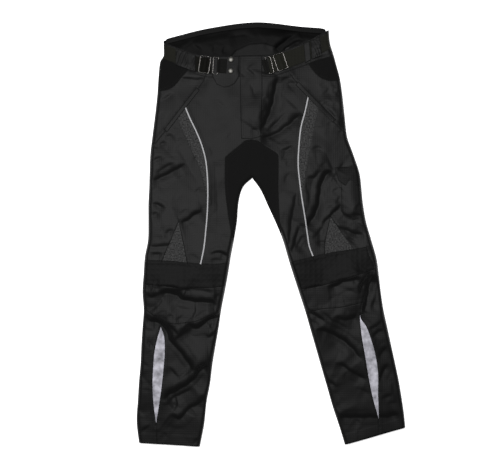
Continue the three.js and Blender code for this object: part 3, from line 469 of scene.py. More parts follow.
class Half:
    """One half: its side seam, inside leg, hem and whole outline, the lift of its front by height in
    the plan, and its seams and cut pieces."""

    def __init__(self, is_right, seams, pieces):
        outer, inner = (1, 2) if is_right else (3, 4)  # places in a row of SECTIONS
        self.is_right = is_right
        self.outer = smooth([row[outer] for row in SECTIONS], STEP)
        self.leg = smooth([row[inner] for row in SECTIONS[CROTCH:]], STEP)
        rise = evenly([SECTIONS[0][inner], self.leg[0]], STEP)[:-1]
        self.hem = evenly([self.outer[-1], self.leg[-1]], STEP)
        top = evenly([rise[0], self.outer[0]], STEP)
        loop = np.vstack([self.outer[:-1], self.hem[:-1], self.leg[:0:-1], self.leg[:1], rise[:0:-1],
                          top[:-1]])
        self.outline = loop if is_right else loop[::-1]
        height = [0.5 * (row[outer][1] + row[inner][1]) for row in SECTIONS]
        self.lift = (height[::-1], [row[-1] for row in SECTIONS[::-1]])
        self.seams = {name: (side, longer(smooth(run, 3.0), 2.0)) for name, (side, run) in seams.items()}
        self.pieces = pieces


RIGHT = Half(True, RIGHT_SEAMS, RIGHT_PIECES)
LEFT = Half(False, LEFT_SEAMS, LEFT_PIECES)
HALVES = {"right": RIGHT, "left": LEFT}
WAIST_EDGE = smooth(FRONT_WAIST, 3.0)
BACK_EDGE = smooth(BACK_WAIST, STEP)
TO_LAMP = (-0.6, 0.8)

# Relief of the edges: how far in from an edge its roll goes and how deep it is, and the step of a hem
EDGE_ROLL = 3.0
ROLL_DEPTH = 1.4
HEM_ALLOWANCE = 24.0
HEM_STEP = 0.3

# Relief of the folds: the rounding at the foot of a crease, the reach of a fold beyond its own width, the
# number of reaches over which it dies away, the length over which its ends fade, and the blur in a bend,
# in mm at most and as a share of the length
CREASE_ROUND = 2.2
FOLD_REACH = 7.0
FOLD_FADE = 3
FOLD_END = 24.0
FOLD_BLUR = (4.0, 0.04)

# Relief of the seams: the allowance's ridge, the groove on the seam, and the pucker and its pitch
RIDGE = 0.4
GROOVE = 0.25
PUCKER = 0.13
PUCKER_PITCH = 12.5


def fold_runs(rows):
    """The runs of the creases, the short ones shallower and narrower."""
    made = []
    for points, rise, first, last in rows:
        run = smooth(points, STEP)
        length = STEP * (len(run) - 1)
        share = np.clip((length - 35) / 60, 0, 1)
        wider = 1.05 + 0.4 * share
        made.append((run, rise * (0.5 + 0.65 * share), wider * first, wider * last))
    return made


FOLD_RUNS = fold_runs(FOLDS)
LINING_RUNS = fold_runs(LINING_FOLDS)
WAVE_SIZES = [(170, 0.75), (140, 0.6), (110, 0.42), (90, 0.3), (70, 0.2), (52, 0.11), (38, 0.06)]

random = np.random.default_rng(41)  # seeded, so that each run gives the same cloth
WAVES = [
    (2 * math.pi / length, random.uniform(0, math.pi), random.uniform(0, 2 * math.pi), height)
    for length, height in WAVE_SIZES
]


def small_creases(count):
    """The small creases between the folds, strewn over the cloth. Most rise to the wearer's left."""
    made = []
    for _ in range(count):
        start = np.array([random.uniform(-335, 330), random.uniform(-530, 400)])
        heading = float(np.clip(random.normal(0.5, 0.9), -0.7, 1.1))
        length = random.uniform(16, 52)
        bend = random.uniform(-0.1, 0.1) * length
        along = np.array([math.cos(heading), math.sin(heading)])
        across = np.array([-along[1], along[0]])
        middle = start + 0.5 * length * along + bend * across
        run = smooth([start, middle, start + length * along], STEP)
        rise, first, last = random.uniform(0.15, 0.6), random.uniform(1.8, 3.6), random.uniform(1.8, 3.6)
        made.append((run, rise, first, last))
    return made


def companions(runs):
    """Slighter creases that run beside the larger folds."""
    made = []
    for run, rise, first, last in runs:
        for side in (-1, 1):
            offset = side * random.uniform(12, 26)
            begun, ended = random.uniform(0.0, 0.35), random.uniform(0.6, 1.0)
            share = random.uniform(0.1, 0.24)
            part = beside(run, offset)[int(begun * len(run)):int(ended * len(run))]
            if rise > 2.2 and len(part) > 5:
                made.append((part, rise * share, 0.9 * first, 0.9 * last))
    return made


CREASES = small_creases(240) + companions(FOLD_RUNS)


def waves(points):
    """The unevenness that all cloth has, as a sum of waves whose fronts are bent."""
    total = np.zeros(len(points))
    for turn, heading, phase, height in WAVES:
        across = points @ np.array([math.cos(heading), math.sin(heading)])
        along = points @ np.array([-math.sin(heading), math.cos(heading)])
        total += height * np.sin(turn * across + phase + 1.3 * np.sin(0.6 * turn * along + 2 * phase))
    return total


def side_distances(points):
    """How far each point is in from the side seam and from the inside leg of its own half."""
    out = np.full(len(points), 2 * EDGE_ROUND)
    into = np.full(len(points), 2 * EDGE_ROUND)
    for half in HALVES.values():
        mine = (points[:, 0] < CENTRE) == half.is_right
        out[mine] = away_from(points[mine], half.outer, 2 * EDGE_ROUND)
        into[mine] = away_from(points[mine], half.leg, 2 * EDGE_ROUND)
    return out, into


def folds(points, runs):
    """The folds: at each, the cloth falls ever more steeply from the lamp's side down to a crease."""
    total = np.zeros(len(points))
    faded = math.exp(-FOLD_FADE)
    for number, (run, rise, first, last) in enumerate(runs):
        reach = 1.7 * (first + last) + FOLD_REACH
        blur = min(FOLD_BLUR[0], FOLD_BLUR[1] * np.hypot(*np.diff(run, axis=0).T).sum())
        picked, away, side, along, length = near(points, run, FOLD_FADE * reach, blur)
        across = run[-1] - run[0]
        upper = math.copysign(1.0, -across[1] * TO_LAMP[0] + across[0] * TO_LAMP[1])
        ends = np.minimum(along, length - along)
        taper = ease(ends / min(0.45 * length, FOLD_END))
        width = first + (last - first) * along / length
        uneven = 1 + 0.22 * np.sin(along / (1.35 * (first + last)) + 1.7 * number)
        face = 1.5 * width * uneven * (0.35 + 0.65 * taper)
        over = upper * side * away + 0.12 * width * np.sin(along / 5.0 + number)
        clear = 0.5 * (over + np.sqrt(over * over + CREASE_ROUND ** 2))
        step = (1 - 2 * np.exp(-clear / face)) * (np.exp(-away / reach) - faded) / (1 - faded)
        total[picked] += rise * taper * uneven * step
    return total


def seam_relief(points):
    """The grooves of the seams, the allowances pressed to one side of them, and the pucker."""
    total = np.zeros(len(points))
    for half in HALVES.values():
        for number, (pressed, run) in enumerate(half.seams.values()):
            picked, away, side, along, _ = near(points, run, 16.0)
            onto = side == pressed
            ridge = RIDGE * ease(away / 1.8) * (1 - ease((away - 6.8) / 3.5)) * onto
            groove = -GROOVE * np.exp(-(away / 0.8) ** 2)
            beat = along + 3.1 * np.sin(along / 23.0 + number)
            pucker = PUCKER * np.sin(beat * 2 * math.pi / PUCKER_PITCH) * np.exp(-away / 5.5)
            total[picked] += ridge + groove + pucker
    return total


def edges_relief(points):
    """The rolled edge at the waist, and the turned-up hems."""
    drop = ROLL_DEPTH * (quarter(away_from(points, WAIST_EDGE, EDGE_ROLL) / EDGE_ROLL) - 1)
    for half in HALVES.values():
        away = away_from(points, half.hem, HEM_ALLOWANCE + 4)
        drop += ROLL_DEPTH * (quarter(away / EDGE_ROLL) - 1)
        drop += HEM_STEP * (1 - ease((away - HEM_ALLOWANCE) / 3.5)) * (away < HEM_ALLOWANCE + 4)
    return drop


def rounding(points, reach):
    """How far the rounded sides have risen at points of the plan, from 0 at a side seam to 1."""
    out, into = side_distances(points)
    return quarter(out / reach) * quarter(into / reach)


def smooth_form(points):
    """Height of the front's top above the floor at points of the plan, without its seams."""
    rounded = rounding(points, EDGE_ROUND)
    mine = points[:, 0] < CENTRE
    lift = np.where(mine, np.interp(points[:, 1], *RIGHT.lift), np.interp(points[:, 1], *LEFT.lift))
    soft = 0.3 * rounded + 0.7 * rounded ** 2
    relief = folds(points, FOLD_RUNS + CREASES) + waves(points)
    return SIDE_HEIGHT + lift * rounded + relief * soft


def front_form(points):
    """The same with the relief of the seams and of the rolled edges."""
    relief = seam_relief(points) + edges_relief(points)
    return smooth_form(points) + relief * rounding(points, EDGE_ROUND)


def back_form(points):
    """Height of the back's underside: flat on the floor and rounded up to the side seams."""
    return BACK_SIDE_HEIGHT * (1 - rounding(points, BACK_ROUND))


def inside_form(points):
    """The lining's top where it lies on the inside of the back."""
    away = away_from(points, BACK_EDGE, 60.0)
    relief = 0.3 * waves(points * 1.4) + folds(points, LINING_RUNS)
    return 3.0 + 2.4 * ease((away - 13) / 24) + relief * ease((away - 8) / 16)


# Meshes
def placed(name, data):
    """A new object in the scene."""
    made = bpy.data.objects.new(name, data)
    bpy.context.collection.objects.link(made)
    return made


def mesh_object(name, points, faces, material, uv=None):
    """A piece from points in mm, with its places on the flat cut as its UV map."""
    mesh = bpy.data.meshes.new(name)
    mesh.from_pydata((np.asarray(points) * MM).tolist(), [], [list(face) for face in faces])
    mesh.polygons.foreach_set("use_smooth", [True] * len(mesh.polygons))
    if uv is not None:
        layer = mesh.uv_layers.new(name="cut")
        corners = np.zeros(len(mesh.loops), int)
        mesh.loops.foreach_get("vertex_index", corners)
        layer.data.foreach_set("uv", (np.asarray(uv)[corners] * MM).ravel())
    mesh.materials.append(material)
    return placed(name, mesh)


def thicken(piece, thickness):
    """Gives a skin its thickness, on the side away from its normals. The shading of its face is kept
    apart from that of its rim."""
    mesh = piece.data
    uses = np.zeros(len(mesh.loops), int)
    mesh.loops.foreach_get("edge_index", uses)
    sharp = mesh.attributes.new("sharp_edge", "BOOLEAN", "EDGE")
    sharp.data.foreach_set("value", np.bincount(uses, minlength=len(mesh.edges)) == 1)
    wall = piece.modifiers.new("wall", "SOLIDIFY")
    wall.thickness = thickness * MM
    wall.offset = -1
    return piece


ROW_PITCH = 0.866  # between the rows of a triangular grid whose points are 1 apart


def triangular(low, high, pitch):
    """Points of an even triangular grid over a rectangle."""
    rows = int((high[1] - low[1]) / (pitch * ROW_PITCH)) + 1
    columns = int((high[0] - low[0]) / pitch) + 2
    row, column = np.mgrid[0:rows, 0:columns]
    x = low[0] + pitch * (column + 0.5 * (row % 2) - 0.25)
    y = low[1] + pitch * ROW_PITCH * (row + 0.5)
    return np.column_stack([x.ravel(), y.ravel()])


def thinned(points, taken, least):
    """The points, without any that is nearer than least to a taken one or to one kept before it."""
    cells = {}
    kept = []

    def crowded(x, y, i, j):
        for a in (i - 1, i, i + 1):
            for b in (j - 1, j, j + 1):
                for px, py in cells.get((a, b), ()):
                    if (px - x) ** 2 + (py - y) ** 2 < least * least:
                        return True
        return False

    for x, y in taken.tolist():
        cells.setdefault((int(x // least), int(y // least)), []).append((x, y))
    for x, y in points.tolist():
        i, j = int(x // least), int(y // least)
        if not crowded(x, y, i, j):
            cells.setdefault((i, j), []).append((x, y))
            kept.append((x, y))
    return np.array(kept).reshape(-1, 2)


def triangulate(outline, runs, points):
    """Triangles over an outline, parted along runs: their points, corners and the walls they keep."""
    every = np.vstack([outline, *runs, points])
    edges = []
    start = len(outline)
    for run in runs:
        edges += [(start + i, start + i + 1) for i in range(len(run) - 1)]
        start += len(run)
    rim = [list(range(len(outline)))]
    spots, sides, corners, _, side_sources, corner_sources = delaunay_2d_cdt(
        [Vector(point) for point in every.tolist()], edges, rim, 1, 1e-5, True)
    count = len(edges)
    walls = {tuple(sorted(side)) for side, source in zip(sides, side_sources)
             if min(source, default=count) < count}
    faces = [tuple(face) for face, source in zip(corners, corner_sources) if source]
    return np.array([spot[:] for spot in spots]), faces, walls


def cut_pieces(outline, runs, points, seeds):
    """Parts a plan along runs and returns the points and triangles of the piece round each seed."""
    xy, faces, walls = triangulate(outline, runs, points)
    beyond = {}
    for number, face in enumerate(faces):
        for a, b in zip(face, face[1:] + face[:1]):
            beyond.setdefault((min(a, b), max(a, b)), []).append(number)
    corners = xy[np.array(faces)]
    pieces = {}
    for name, seed in seeds.items():
        a, b, c = (corners[:, k] - seed for k in range(3))
        round_seed = [p[:, 0] * q[:, 1] - p[:, 1] * q[:, 0] >= 0 for p, q in ((a, b), (b, c), (c, a))]
        todo = [int(np.flatnonzero(np.all(round_seed, axis=0))[0])]
        seen = set(todo)
        while todo:
            face = faces[todo.pop()]
            for a, b in zip(face, face[1:] + face[:1]):
                edge = (min(a, b), max(a, b))
                if edge in walls:
                    continue
                for other in beyond[edge]:
                    if other not in seen:
                        seen.add(other)
                        todo.append(other)
        mine = np.array([faces[i] for i in sorted(seen)])
        used, indices = np.unique(mine, return_inverse=True)
        pieces[name] = (xy[used], indices.reshape(-1, 3))
    return pieces


def turns(a, b, c):
    """Twice the area of triangles a, b, c, above nought where they turn to the left."""
    return (b[:, 0] - a[:, 0]) * (c[:, 1] - a[:, 1]) - (b[:, 1] - a[:, 1]) * (c[:, 0] - a[:, 0])


def cut_size(uv, faces):
    """Width and length of the rectangle round a cut piece, turned to the piece's own run, and its
    area, in metres."""
    centred = uv - uv.mean(0)
    _, axes = np.linalg.eigh(np.cov(centred.T))
    turned = centred @ axes
    width, length = turned.max(0) - turned.min(0)
    area = np.abs(turns(*(uv[faces[:, k]] for k in range(3)))).sum() / 2
    return (width * MM, length * MM), float(area) * MM * MM


def unrolled(points):
    """Places on the flat cut piece: the plan, drawn out where the cloth turns down at an edge."""
    out, into = side_distances(points)
    uv = points.copy()
    outward = np.where(points[:, 0] < CENTRE, -1.0, 1.0)
    for away, way in ((out, outward), (into, -outward)):
        rest = np.clip(away / EDGE_ROUND, 0, 1)
        uv[:, 0] += way * EDGE_ROUND * (np.arccos(rest) - (1 - rest))
    return uv


def finish_sheet(piece, node, uv, faces, strip=None):
    """Hangs a piece of cloth under the root and hides the part that it stands for. It also works out the size
    and area of the flat cut, with strip, the width and length of a straight strip that is sewn in along a
    curve with its allowance, in place of that size; nothing uses them further."""
    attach(piece, "root")
    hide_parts(node)
    flat, area = cut_size(uv, faces)
    flat = strip or flat


# Rows of points beside the side seams, the seams, the waist's edge, the hems and the back's edges
EDGE_ROWS = [0.2, 0.8, 1.7, 2.9, 4.4, 6.2, 8.4, 11.0]
SEAM_ROWS = [-5.5, -3.2, -1.6, -0.7, 0.7, 1.6, 3.2, 5.5]
WAIST_ROWS = [-0.5, -1.2, -2.2, -3.4]
HEM_ROWS = [0.5, 1.2, 2.2, 3.4, 23.0, 25.0, 27.0]
BACK_ROWS = [0.4, 1.3, 2.7, 4.3, 6.0]
BACK_WAIST_ROWS = [-0.8, -3.0]


def rows_beside(runs, offsets, outline):
    """Points in rows beside runs, where they keep their distance and lie inside the outline."""
    found = []
    for run in runs:
        for offset in offsets:
            row = beside(run, offset)
            away = away_from(row, run, abs(offset) + 1)
            found.append(row[(away > 0.9 * abs(offset)) & within(row, outline)])
    return np.vstack(found)


def both_ways(offsets):
    """Offsets to both sides of a run."""
    return [sign * offset for offset in offsets for sign in (-1, 1)]


def front_pieces(side, half):
    """Cuts one half of the front into its pieces."""
    runs = [run for _, run in half.seams.values()] + [longer(WAIST_EDGE, 2.0)]
    edges = rows_beside([half.outer, half.leg], both_ways(EDGE_ROWS), half.outline)
    seams = rows_beside(runs[:-1], SEAM_ROWS, half.outline)
    waist = rows_beside([WAIST_EDGE], WAIST_ROWS, half.outline)
    hem = rows_beside([half.hem], HEM_ROWS, half.outline)
    fixed = np.vstack([half.outline] + runs)
    rows = thinned(np.vstack([edges, seams, waist, hem]), fixed, 0.55)
    grid = triangular(half.outline.min(0), half.outline.max(0), GRID)
    grid = grid[within(grid, half.outline)]
    grid = thinned(grid, np.vstack([fixed, rows]), 1.9)
    cut = cut_pieces(half.outline, runs, np.vstack([rows, grid]), half.pieces)
    for name, (xy, faces) in cut.items():
        node = f"{name}_{side}"
        finish = PIECE_FINISH[name]
        uv = unrolled(xy)
        shape = np.column_stack([xy, front_form(xy)])
        piece = mesh_object(f"{node}_shown", shape, faces, MATERIALS[finish], uv)
        thicken(piece, CLOTH)
        finish_sheet(piece, node, uv, faces)


def back_pieces(side, half):
    """Cuts one half of the back, whose waistband's inside shows above the lining."""
    runs = [BACK_EDGE, smooth(BACK_BAND_FOOT, 6.0)]
    rows = rows_beside([half.outer, half.leg], both_ways(BACK_ROWS), half.outline)
    rows = np.vstack([rows, rows_beside([BACK_EDGE], BACK_WAIST_ROWS, half.outline)])
    grid = triangular(half.outline.min(0), half.outline.max(0), BACK_GRID)
    grid = grid[within(grid, half.outline)]
    fixed = np.vstack([half.outline] + runs)
    rows = thinned(rows, fixed, 0.4)
    points = np.vstack([rows, thinned(grid, np.vstack([fixed, rows]), 4.0)])
    seeds = {
        "back_waistband": (half.pieces["waistband_front"][0], 500),
        "back_panel": half.pieces["side_thigh"],
    }
    for name, (xy, faces) in cut_pieces(half.outline, runs, points, seeds).items():
        node = f"{name}_{side}"
        shape = np.column_stack([xy, back_form(xy)])
        # The waistband's inside is darker than its cloth: partly the inside of the coated cloth, partly
        # painted shade in the hollow under the front's waist.
        finish = "facing_painted_shade" if name == "back_waistband" else "cloth"
        piece = mesh_object(f"{node}_shown", shape, faces[:, ::-1], MATERIALS[finish], xy)
        thicken(piece, BACK_CLOTH)
        finish_sheet(piece, node, xy, faces)


def drawn_in(edge, inset=1.0):
    """An outline's points, with those that lie past a side seam brought back on to it."""
    edge = edge.copy()
    for half in HALVES.values():
        mine = (edge[:, 0] < CENTRE) == half.is_right
        rim = beside(half.outer, inset if half.is_right else -inset)
        away = away_from(edge, half.outer, 40.0)
        past = np.flatnonzero(mine & (~within(edge, half.outline) | (away < inset)))
        for i in past:
            edge[i] = rim[np.hypot(*(rim - edge[i]).T).argmin()]
    return edge


def patch(node, outline, slot_name, rise, thick, base=smooth_form, form=None, puff=0.0, soft=1.3,
          strip=None, finish=None, stitched=()):
    """A piece of cloth that lies on the base form, with soft edges and with rows of stitches inside
    them. form raises it further, and puff raises its middle."""
    edge = drawn_in(closed(outline, PATCH_GRID))
    edge = edge[np.hypot(*(edge - np.roll(edge, 1, axis=0)).T) > 0.3]
    area = float(np.sum(edge[:, 0] * np.roll(edge[:, 1], -1) - edge[:, 1] * np.roll(edge[:, 0], -1)))
    edge = edge if area > 0 else edge[::-1]
    loop = np.vstack([edge, edge[:1]])
    rows = []
    for offset in (0.3 * soft, soft):
        row = beside(loop, offset)[:-1]
        rows.append(row[away_from(row, loop, 2 * soft) > 0.9 * offset])
    rows = np.vstack(rows)
    rows = rows[within(rows, edge)]
    grid = triangular(edge.min(0), edge.max(0), PATCH_GRID)
    grid = grid[within(grid, edge)]
    rows = thinned(rows, edge, 0.2)
    grid = thinned(grid, np.vstack([edge, rows]), 1.2)
    xy, faces, _ = triangulate(edge, [], np.vstack([rows, grid]))
    faces = np.array(faces)

    def top(at):
        away = away_from(at, loop, 30.0)
        edged = thick * quarter((away + 0.1 * soft) / (1.1 * soft))
        height = base(at) + rise + edged + puff * ease(away / 26.0)
        return height if form is None else height + form(at)

    shape = np.column_stack([xy, top(xy)])
    piece = mesh_object(f"{node}_shown", shape, faces, MATERIALS[finish or slot_name], xy)
    thicken(piece, 0.5 * thick)
    finish_sheet(piece, node, xy, faces, strip)
    for inset in stitched:
        row = beside(loop, inset)[:-1]
        row = row[(away_from(row, loop, inset + 1) > 0.95 * inset) & within(row, edge)]
        row = np.vstack([row, row[:1]])
        STITCH_LINES.append(np.column_stack([row, top(row)]))


def ribbon(run, width):
    """The outline of a ribbon of one width along a run."""
    run = np.array(run, float)
    return np.vstack([beside(run, width / 2), beside(run, -width / 2)[::-1]])


# Stitches
STITCH_LINES = []
STITCH_PITCH = 3.6
STITCH_SIZE = (0.75, 2.7)  # width and length
STITCH_SEAT = 0.1  # how far a stitch's middle lies above the cloth
STITCH_ROWS = (2.2, 6.2)  # distance of the rows from a seam
HEM_ROW = HEM_ALLOWANCE - 1.5
WAIST_ROW = 3.6
SINGLE_ROWS = ("crescent", "insert_outer", "insert_inner", "reflector_outer", "reflector_inner", "piping")


def line_on_front(half, row):
    """Keeps the stretches of a row that lie on one half of the front, as lines of stitches."""
    kept = within(row, half.outline) & (away_from(row, half.outer, 3.0) > 2.0)
    kept &= away_from(row, WAIST_EDGE, 2.0) > 1.2
    kept &= row[:, 1] < np.interp(row[:, 0], WAIST_EDGE[:, 0], WAIST_EDGE[:, 1])
    breaks = np.flatnonzero(np.diff(kept.astype(int))) + 1
    for stretch, inside in zip(np.split(row, breaks), np.split(kept, breaks)):
        if inside[0] and len(stretch) > 3:
            STITCH_LINES.append(np.column_stack([stretch, front_form(stretch)]))


def seam_stitches():
    """The rows beside the seams, along the waist's edge and round the hems."""
    for half in HALVES.values():
        for name, (pressed, run) in half.seams.items():
            for offset in STITCH_ROWS[:1] if name in SINGLE_ROWS else STITCH_ROWS:
                line_on_front(half, beside(run, pressed * offset))
        for offset in (-HEM_ROW, HEM_ROW):
            line_on_front(half, beside(half.hem, offset))
        line_on_front(half, beside(WAIST_EDGE, -WAIST_ROW))


def stitch_tree():
    """Nodes that lay a grain of thread at even steps along lines. Returns them with the identifiers of
    their inputs."""
    tree = bpy.data.node_groups.new("stitches", "GeometryNodeTree")
    face = tree.interface
    face.new_socket("Lines", in_out="INPUT", socket_type="NodeSocketGeometry")
    sizes = {name: face.new_socket(name, in_out="INPUT", socket_type="NodeSocketFloat").identifier
             for name in ("Pitch", "Width", "Length")}
    sizes["Thread"] = face.new_socket("Thread", in_out="INPUT", socket_type="NodeSocketMaterial").identifier
    face.new_socket("Stitches", in_out="OUTPUT", socket_type="NodeSocketGeometry")
    start = tree.nodes.new("NodeGroupInput")
    curve = tree.nodes.new("GeometryNodeMeshToCurve")
    points = tree.nodes.new("GeometryNodeCurveToPoints")
    points.mode = "LENGTH"
    grain = tree.nodes.new("GeometryNodeMeshUVSphere")
    for socket, value in (("Segments", 5), ("Rings", 3), ("Radius", 0.5)):
        grain.inputs[socket].default_value = value
    size = tree.nodes.new("ShaderNodeCombineXYZ")
    drawn = tree.nodes.new("GeometryNodeTransform")
    laid = tree.nodes.new("GeometryNodeInstanceOnPoints")
    real = tree.nodes.new("GeometryNodeRealizeInstances")
    finished = tree.nodes.new("GeometryNodeSetMaterial")
    end = tree.nodes.new("NodeGroupOutput")
    for source, target in (
        (start.outputs["Lines"], curve.inputs["Mesh"]),
        (curve.outputs["Curve"], points.inputs["Curve"]),
        (start.outputs["Pitch"], points.inputs["Length"]),
        (start.outputs["Width"], size.inputs["X"]),
        (start.outputs["Width"], size.inputs["Y"]),
        (start.outputs["Length"], size.inputs["Z"]),
        (grain.outputs["Mesh"], drawn.inputs["Geometry"]),
        (size.outputs["Vector"], drawn.inputs["Scale"]),
        (points.outputs["Points"], laid.inputs["Points"]),
        (points.outputs["Rotation"], laid.inputs["Rotation"]),
        (drawn.outputs["Geometry"], laid.inputs["Instance"]),
        (laid.outputs["Instances"], real.inputs["Geometry"]),
        (real.outputs["Geometry"], finished.inputs["Geometry"]),
        (start.outputs["Thread"], finished.inputs["Material"]),
        (finished.outputs["Geometry"], end.inputs["Stitches"]),
    ):
        tree.links.new(source, target)
    return tree, sizes


def add_stitches():
    """All the sewing that shows, as one piece."""
    points = np.vstack(STITCH_LINES) + [0, 0, STITCH_SEAT]
    edges = []
    start = 0
    for line in STITCH_LINES:
        edges += [(start + i, start + i + 1) for i in range(len(line) - 1)]
        start += len(line)
    mesh = bpy.data.meshes.new("stitches")
    mesh.from_pydata((points * MM).tolist(), edges, [])
    piece = placed("stitches", mesh)
    tree, sizes = stitch_tree()
    sewing = piece.modifiers.new("sewing", "NODES")
    sewing.node_group = tree
    sewing[sizes["Pitch"]] = STITCH_PITCH * MM
    sewing[sizes["Width"]] = STITCH_SIZE[0] * MM
    sewing[sizes["Length"]] = STITCH_SIZE[1] * MM
    sewing[sizes["Thread"]] = MATERIALS["thread"]
    made = bpy.data.meshes.new_from_object(piece.evaluated_get(bpy.context.evaluated_depsgraph_get()))
    piece.modifiers.remove(sewing)
    piece.data = made
    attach(piece, "root")


# Materials
def linear(level):
    """A display value from 0 to 255 as light."""
    share = level / 255
    return share / 12.92 if share <= 0.04045 else ((share + 0.055) / 1.055) ** 2.4


def colour(red, green, blue):
    """A colour from display values."""
    return (linear(red), linear(green), linear(blue), 1.0)


def principled(name, base, roughness, metallic=0.0, gloss=0.3, nap=0.0):
    """A plain material, and the inputs of its shader."""
    material = bpy.data.materials.new(name)
    material.use_nodes = True
    inputs = material.node_tree.nodes["Principled BSDF"].inputs
    for socket, value in {
        "Base Color": base, "Roughness": roughness, "Metallic": metallic, "Specular IOR Level": gloss,
        "Sheen Weight": nap, "Sheen Roughness": 0.45,
    }.items():
        inputs[socket].default_value = value
    return material, inputs


def node(material, kind, inputs=(), **settings):
    """A new node, with its settings and the values of its inputs."""
    made = material.node_tree.nodes.new(kind)
    for name, value in settings.items():
        setattr(made, name, value)
    for name, value in dict(inputs).items():
        made.inputs[name].default_value = value
    return made


def on_cut(material):
    """The place on the flat cut of the piece."""
    return node(material, "ShaderNodeUVMap", uv_map="cut").outputs["UV"]


def scaled(material, colour_from, share):
    """A colour times a share that varies over the piece. Returns the colour."""
    made = node(material, "ShaderNodeVectorMath", operation="SCALE")
    if isinstance(colour_from, tuple):
        made.inputs[0].default_value = colour_from[:3]
    else:
        material.node_tree.links.new(colour_from, made.inputs[0])
    material.node_tree.links.new(share, made.inputs["Scale"])
    return made.outputs["Vector"]


def varied(material, inputs, base, spots, height, mottle, depth):
    """Lets the colour vary with spots, and raises the surface where height is great."""
    link = material.node_tree.links.new
    tint = node(material, "ShaderNodeMapRange", {"To Min": 1 - mottle, "To Max": 1 + mottle})
    link(spots, tint.inputs["Value"])
    shade = scaled(material, base, tint.outputs["Result"])
    link(shade, inputs["Base Color"])
    bump = node(material, "ShaderNodeBump", {"Distance": 0.001, "Strength": depth})
    link(height, bump.inputs["Height"])
    link(bump.outputs["Normal"], inputs["Normal"])
    return shade


CLOTH_NAP = 0.06  # the fine hair of woven cloth, which catches light that comes in low
WAVE_TURN = 20  # radians by which the wave texture turns over a metre, at scale 1


def woven(name, base, roughness, pitch, depth, mottle=0.12, gloss=0.25, painted_shade=None):
    """Woven cloth: ridges pitch mm apart each way, on the flat cut of the piece, with a slight mottle.
    darker gives the two places along the cut between which its colour goes down, as painted shade, and to
    what share."""
    material, inputs = principled(name, base, roughness, gloss=gloss, nap=CLOTH_NAP)
    link = material.node_tree.links.new
    place = on_cut(material)
    scale = 2 * math.pi / (WAVE_TURN * pitch * MM)
    both = node(material, "ShaderNodeMath", operation="MAXIMUM")
    for number, direction in enumerate("XY"):
        yarn = node(material, "ShaderNodeTexWave", {"Scale": scale, "Distortion": 1.5},
                    bands_direction=direction)
        link(place, yarn.inputs["Vector"])
        link(yarn.outputs["Fac"], both.inputs[number])
    spots = node(material, "ShaderNodeTexNoise", {"Scale": 70.0, "Detail": 6.0})
    link(place, spots.inputs["Vector"])
    shade = varied(material, inputs, base, spots.outputs["Fac"], both.outputs["Value"], mottle, depth)
    # Painted shade: the colour goes down along the cut past the given places.
    if painted_shade:
        low, high, share = painted_shade
        split = node(material, "ShaderNodeSeparateXYZ")
        link(place, split.inputs["Vector"])
        fall = node(material, "ShaderNodeMapRange",
                    {"From Min": low, "From Max": high, "To Min": 1.0, "To Max": share})
        link(split.outputs["X"], fall.inputs["Value"])
        link(scaled(material, shade, fall.outputs["Result"]), inputs["Base Color"])
    return material


def matted(name, base, roughness, grain, depth, mottle=0.15, gloss=0.1, metallic=0.0, flat=True):
    """Suede, film, metal and other stuff without threads: a fine grain on the flat cut of the piece,
    or in the piece itself where it isn't flat."""
    material, inputs = principled(name, base, roughness, metallic=metallic, gloss=gloss)
    place = on_cut(material) if flat else node(material, "ShaderNodeTexCoord").outputs["Object"]
    fine = node(material, "ShaderNodeTexNoise", {"Scale": grain, "Detail": 4.0})
    material.node_tree.links.new(place, fine.inputs["Vector"])
    varied(material, inputs, base, fine.outputs["Fac"], fine.outputs["Fac"], mottle, depth)
    return material


MATERIALS = {
    "cloth": woven("cloth", colour(15, 15, 15), 0.52, 5.712, 0.12, gloss=0.092),
    "front_cloth": woven("front_cloth", colour(15, 15, 15), 0.52, 5.712, 0.12, gloss=0.085),
    "flap": woven("flap", colour(10, 10, 10), 0.52, 5.712, 0.12, gloss=0.065),
    # Darker than the cloth: partly the inside of the coated cloth, partly painted shade from the hollow under
    # the front's waist.
    "facing_painted_shade": woven("facing_painted_shade", colour(7, 7, 7), 0.52, 5.712, 0.12, gloss=0.046),
    "suede": matted("suede", colour(20, 20, 20), 0.9, 900, 0.3, gloss=0.03),
    "stretch": woven("stretch", colour(17, 17, 17), 0.8, 12.566, 0.3, gloss=0.03),
    "band": woven("band", colour(12, 12, 12), 0.55, 13.09, 0.25, gloss=0.052),
    "insert": matted("insert", colour(51, 51, 51), 0.8, 290, 0.5, mottle=2.0, gloss=0.05),
    "reflector": matted("reflector", colour(160, 159, 167), 0.45, 55, 0.5, mottle=1.3),
    "piping": matted("piping", colour(165, 165, 167), 0.45, 300, 0.2, mottle=0.06),
    "webbing": woven("webbing", colour(26, 26, 22), 0.7, 8.976, 0.4, gloss=0.05),
    # The right strap's colour is darkened with painted shade from where it leaves its casing on through its
    # slider.
    "belt": woven("belt", colour(26, 26, 22), 0.7, 8.976, 0.4, gloss=0.045, painted_shade=(-0.2, -0.19, 0.4)),
    "loop": woven("loop", colour(17, 17, 16), 0.7, 8.976, 0.4, gloss=0.04),
    "lining": matted("lining", colour(13, 13, 13), 0.5, 300, 0.15, gloss=0.055),
    # The yoke is a dark mesh, made darker still as painted shade inside the waist, under the front.
    "dark_lining": matted("dark_lining", colour(6, 6, 6), 0.5, 300, 0.15, gloss=0.032),
    "metal": matted("metal", colour(96, 94, 92), 0.34, 500, 0.01, mottle=0.2, metallic=1.0, flat=False),
    "snap": matted("snap", colour(84, 83, 80), 0.46, 500, 0.01, mottle=0.2, metallic=1.0, flat=False),
    "thread": matted("thread", colour(26, 26, 26), 0.6, 2000, 0.2, mottle=0.2, flat=False),
}


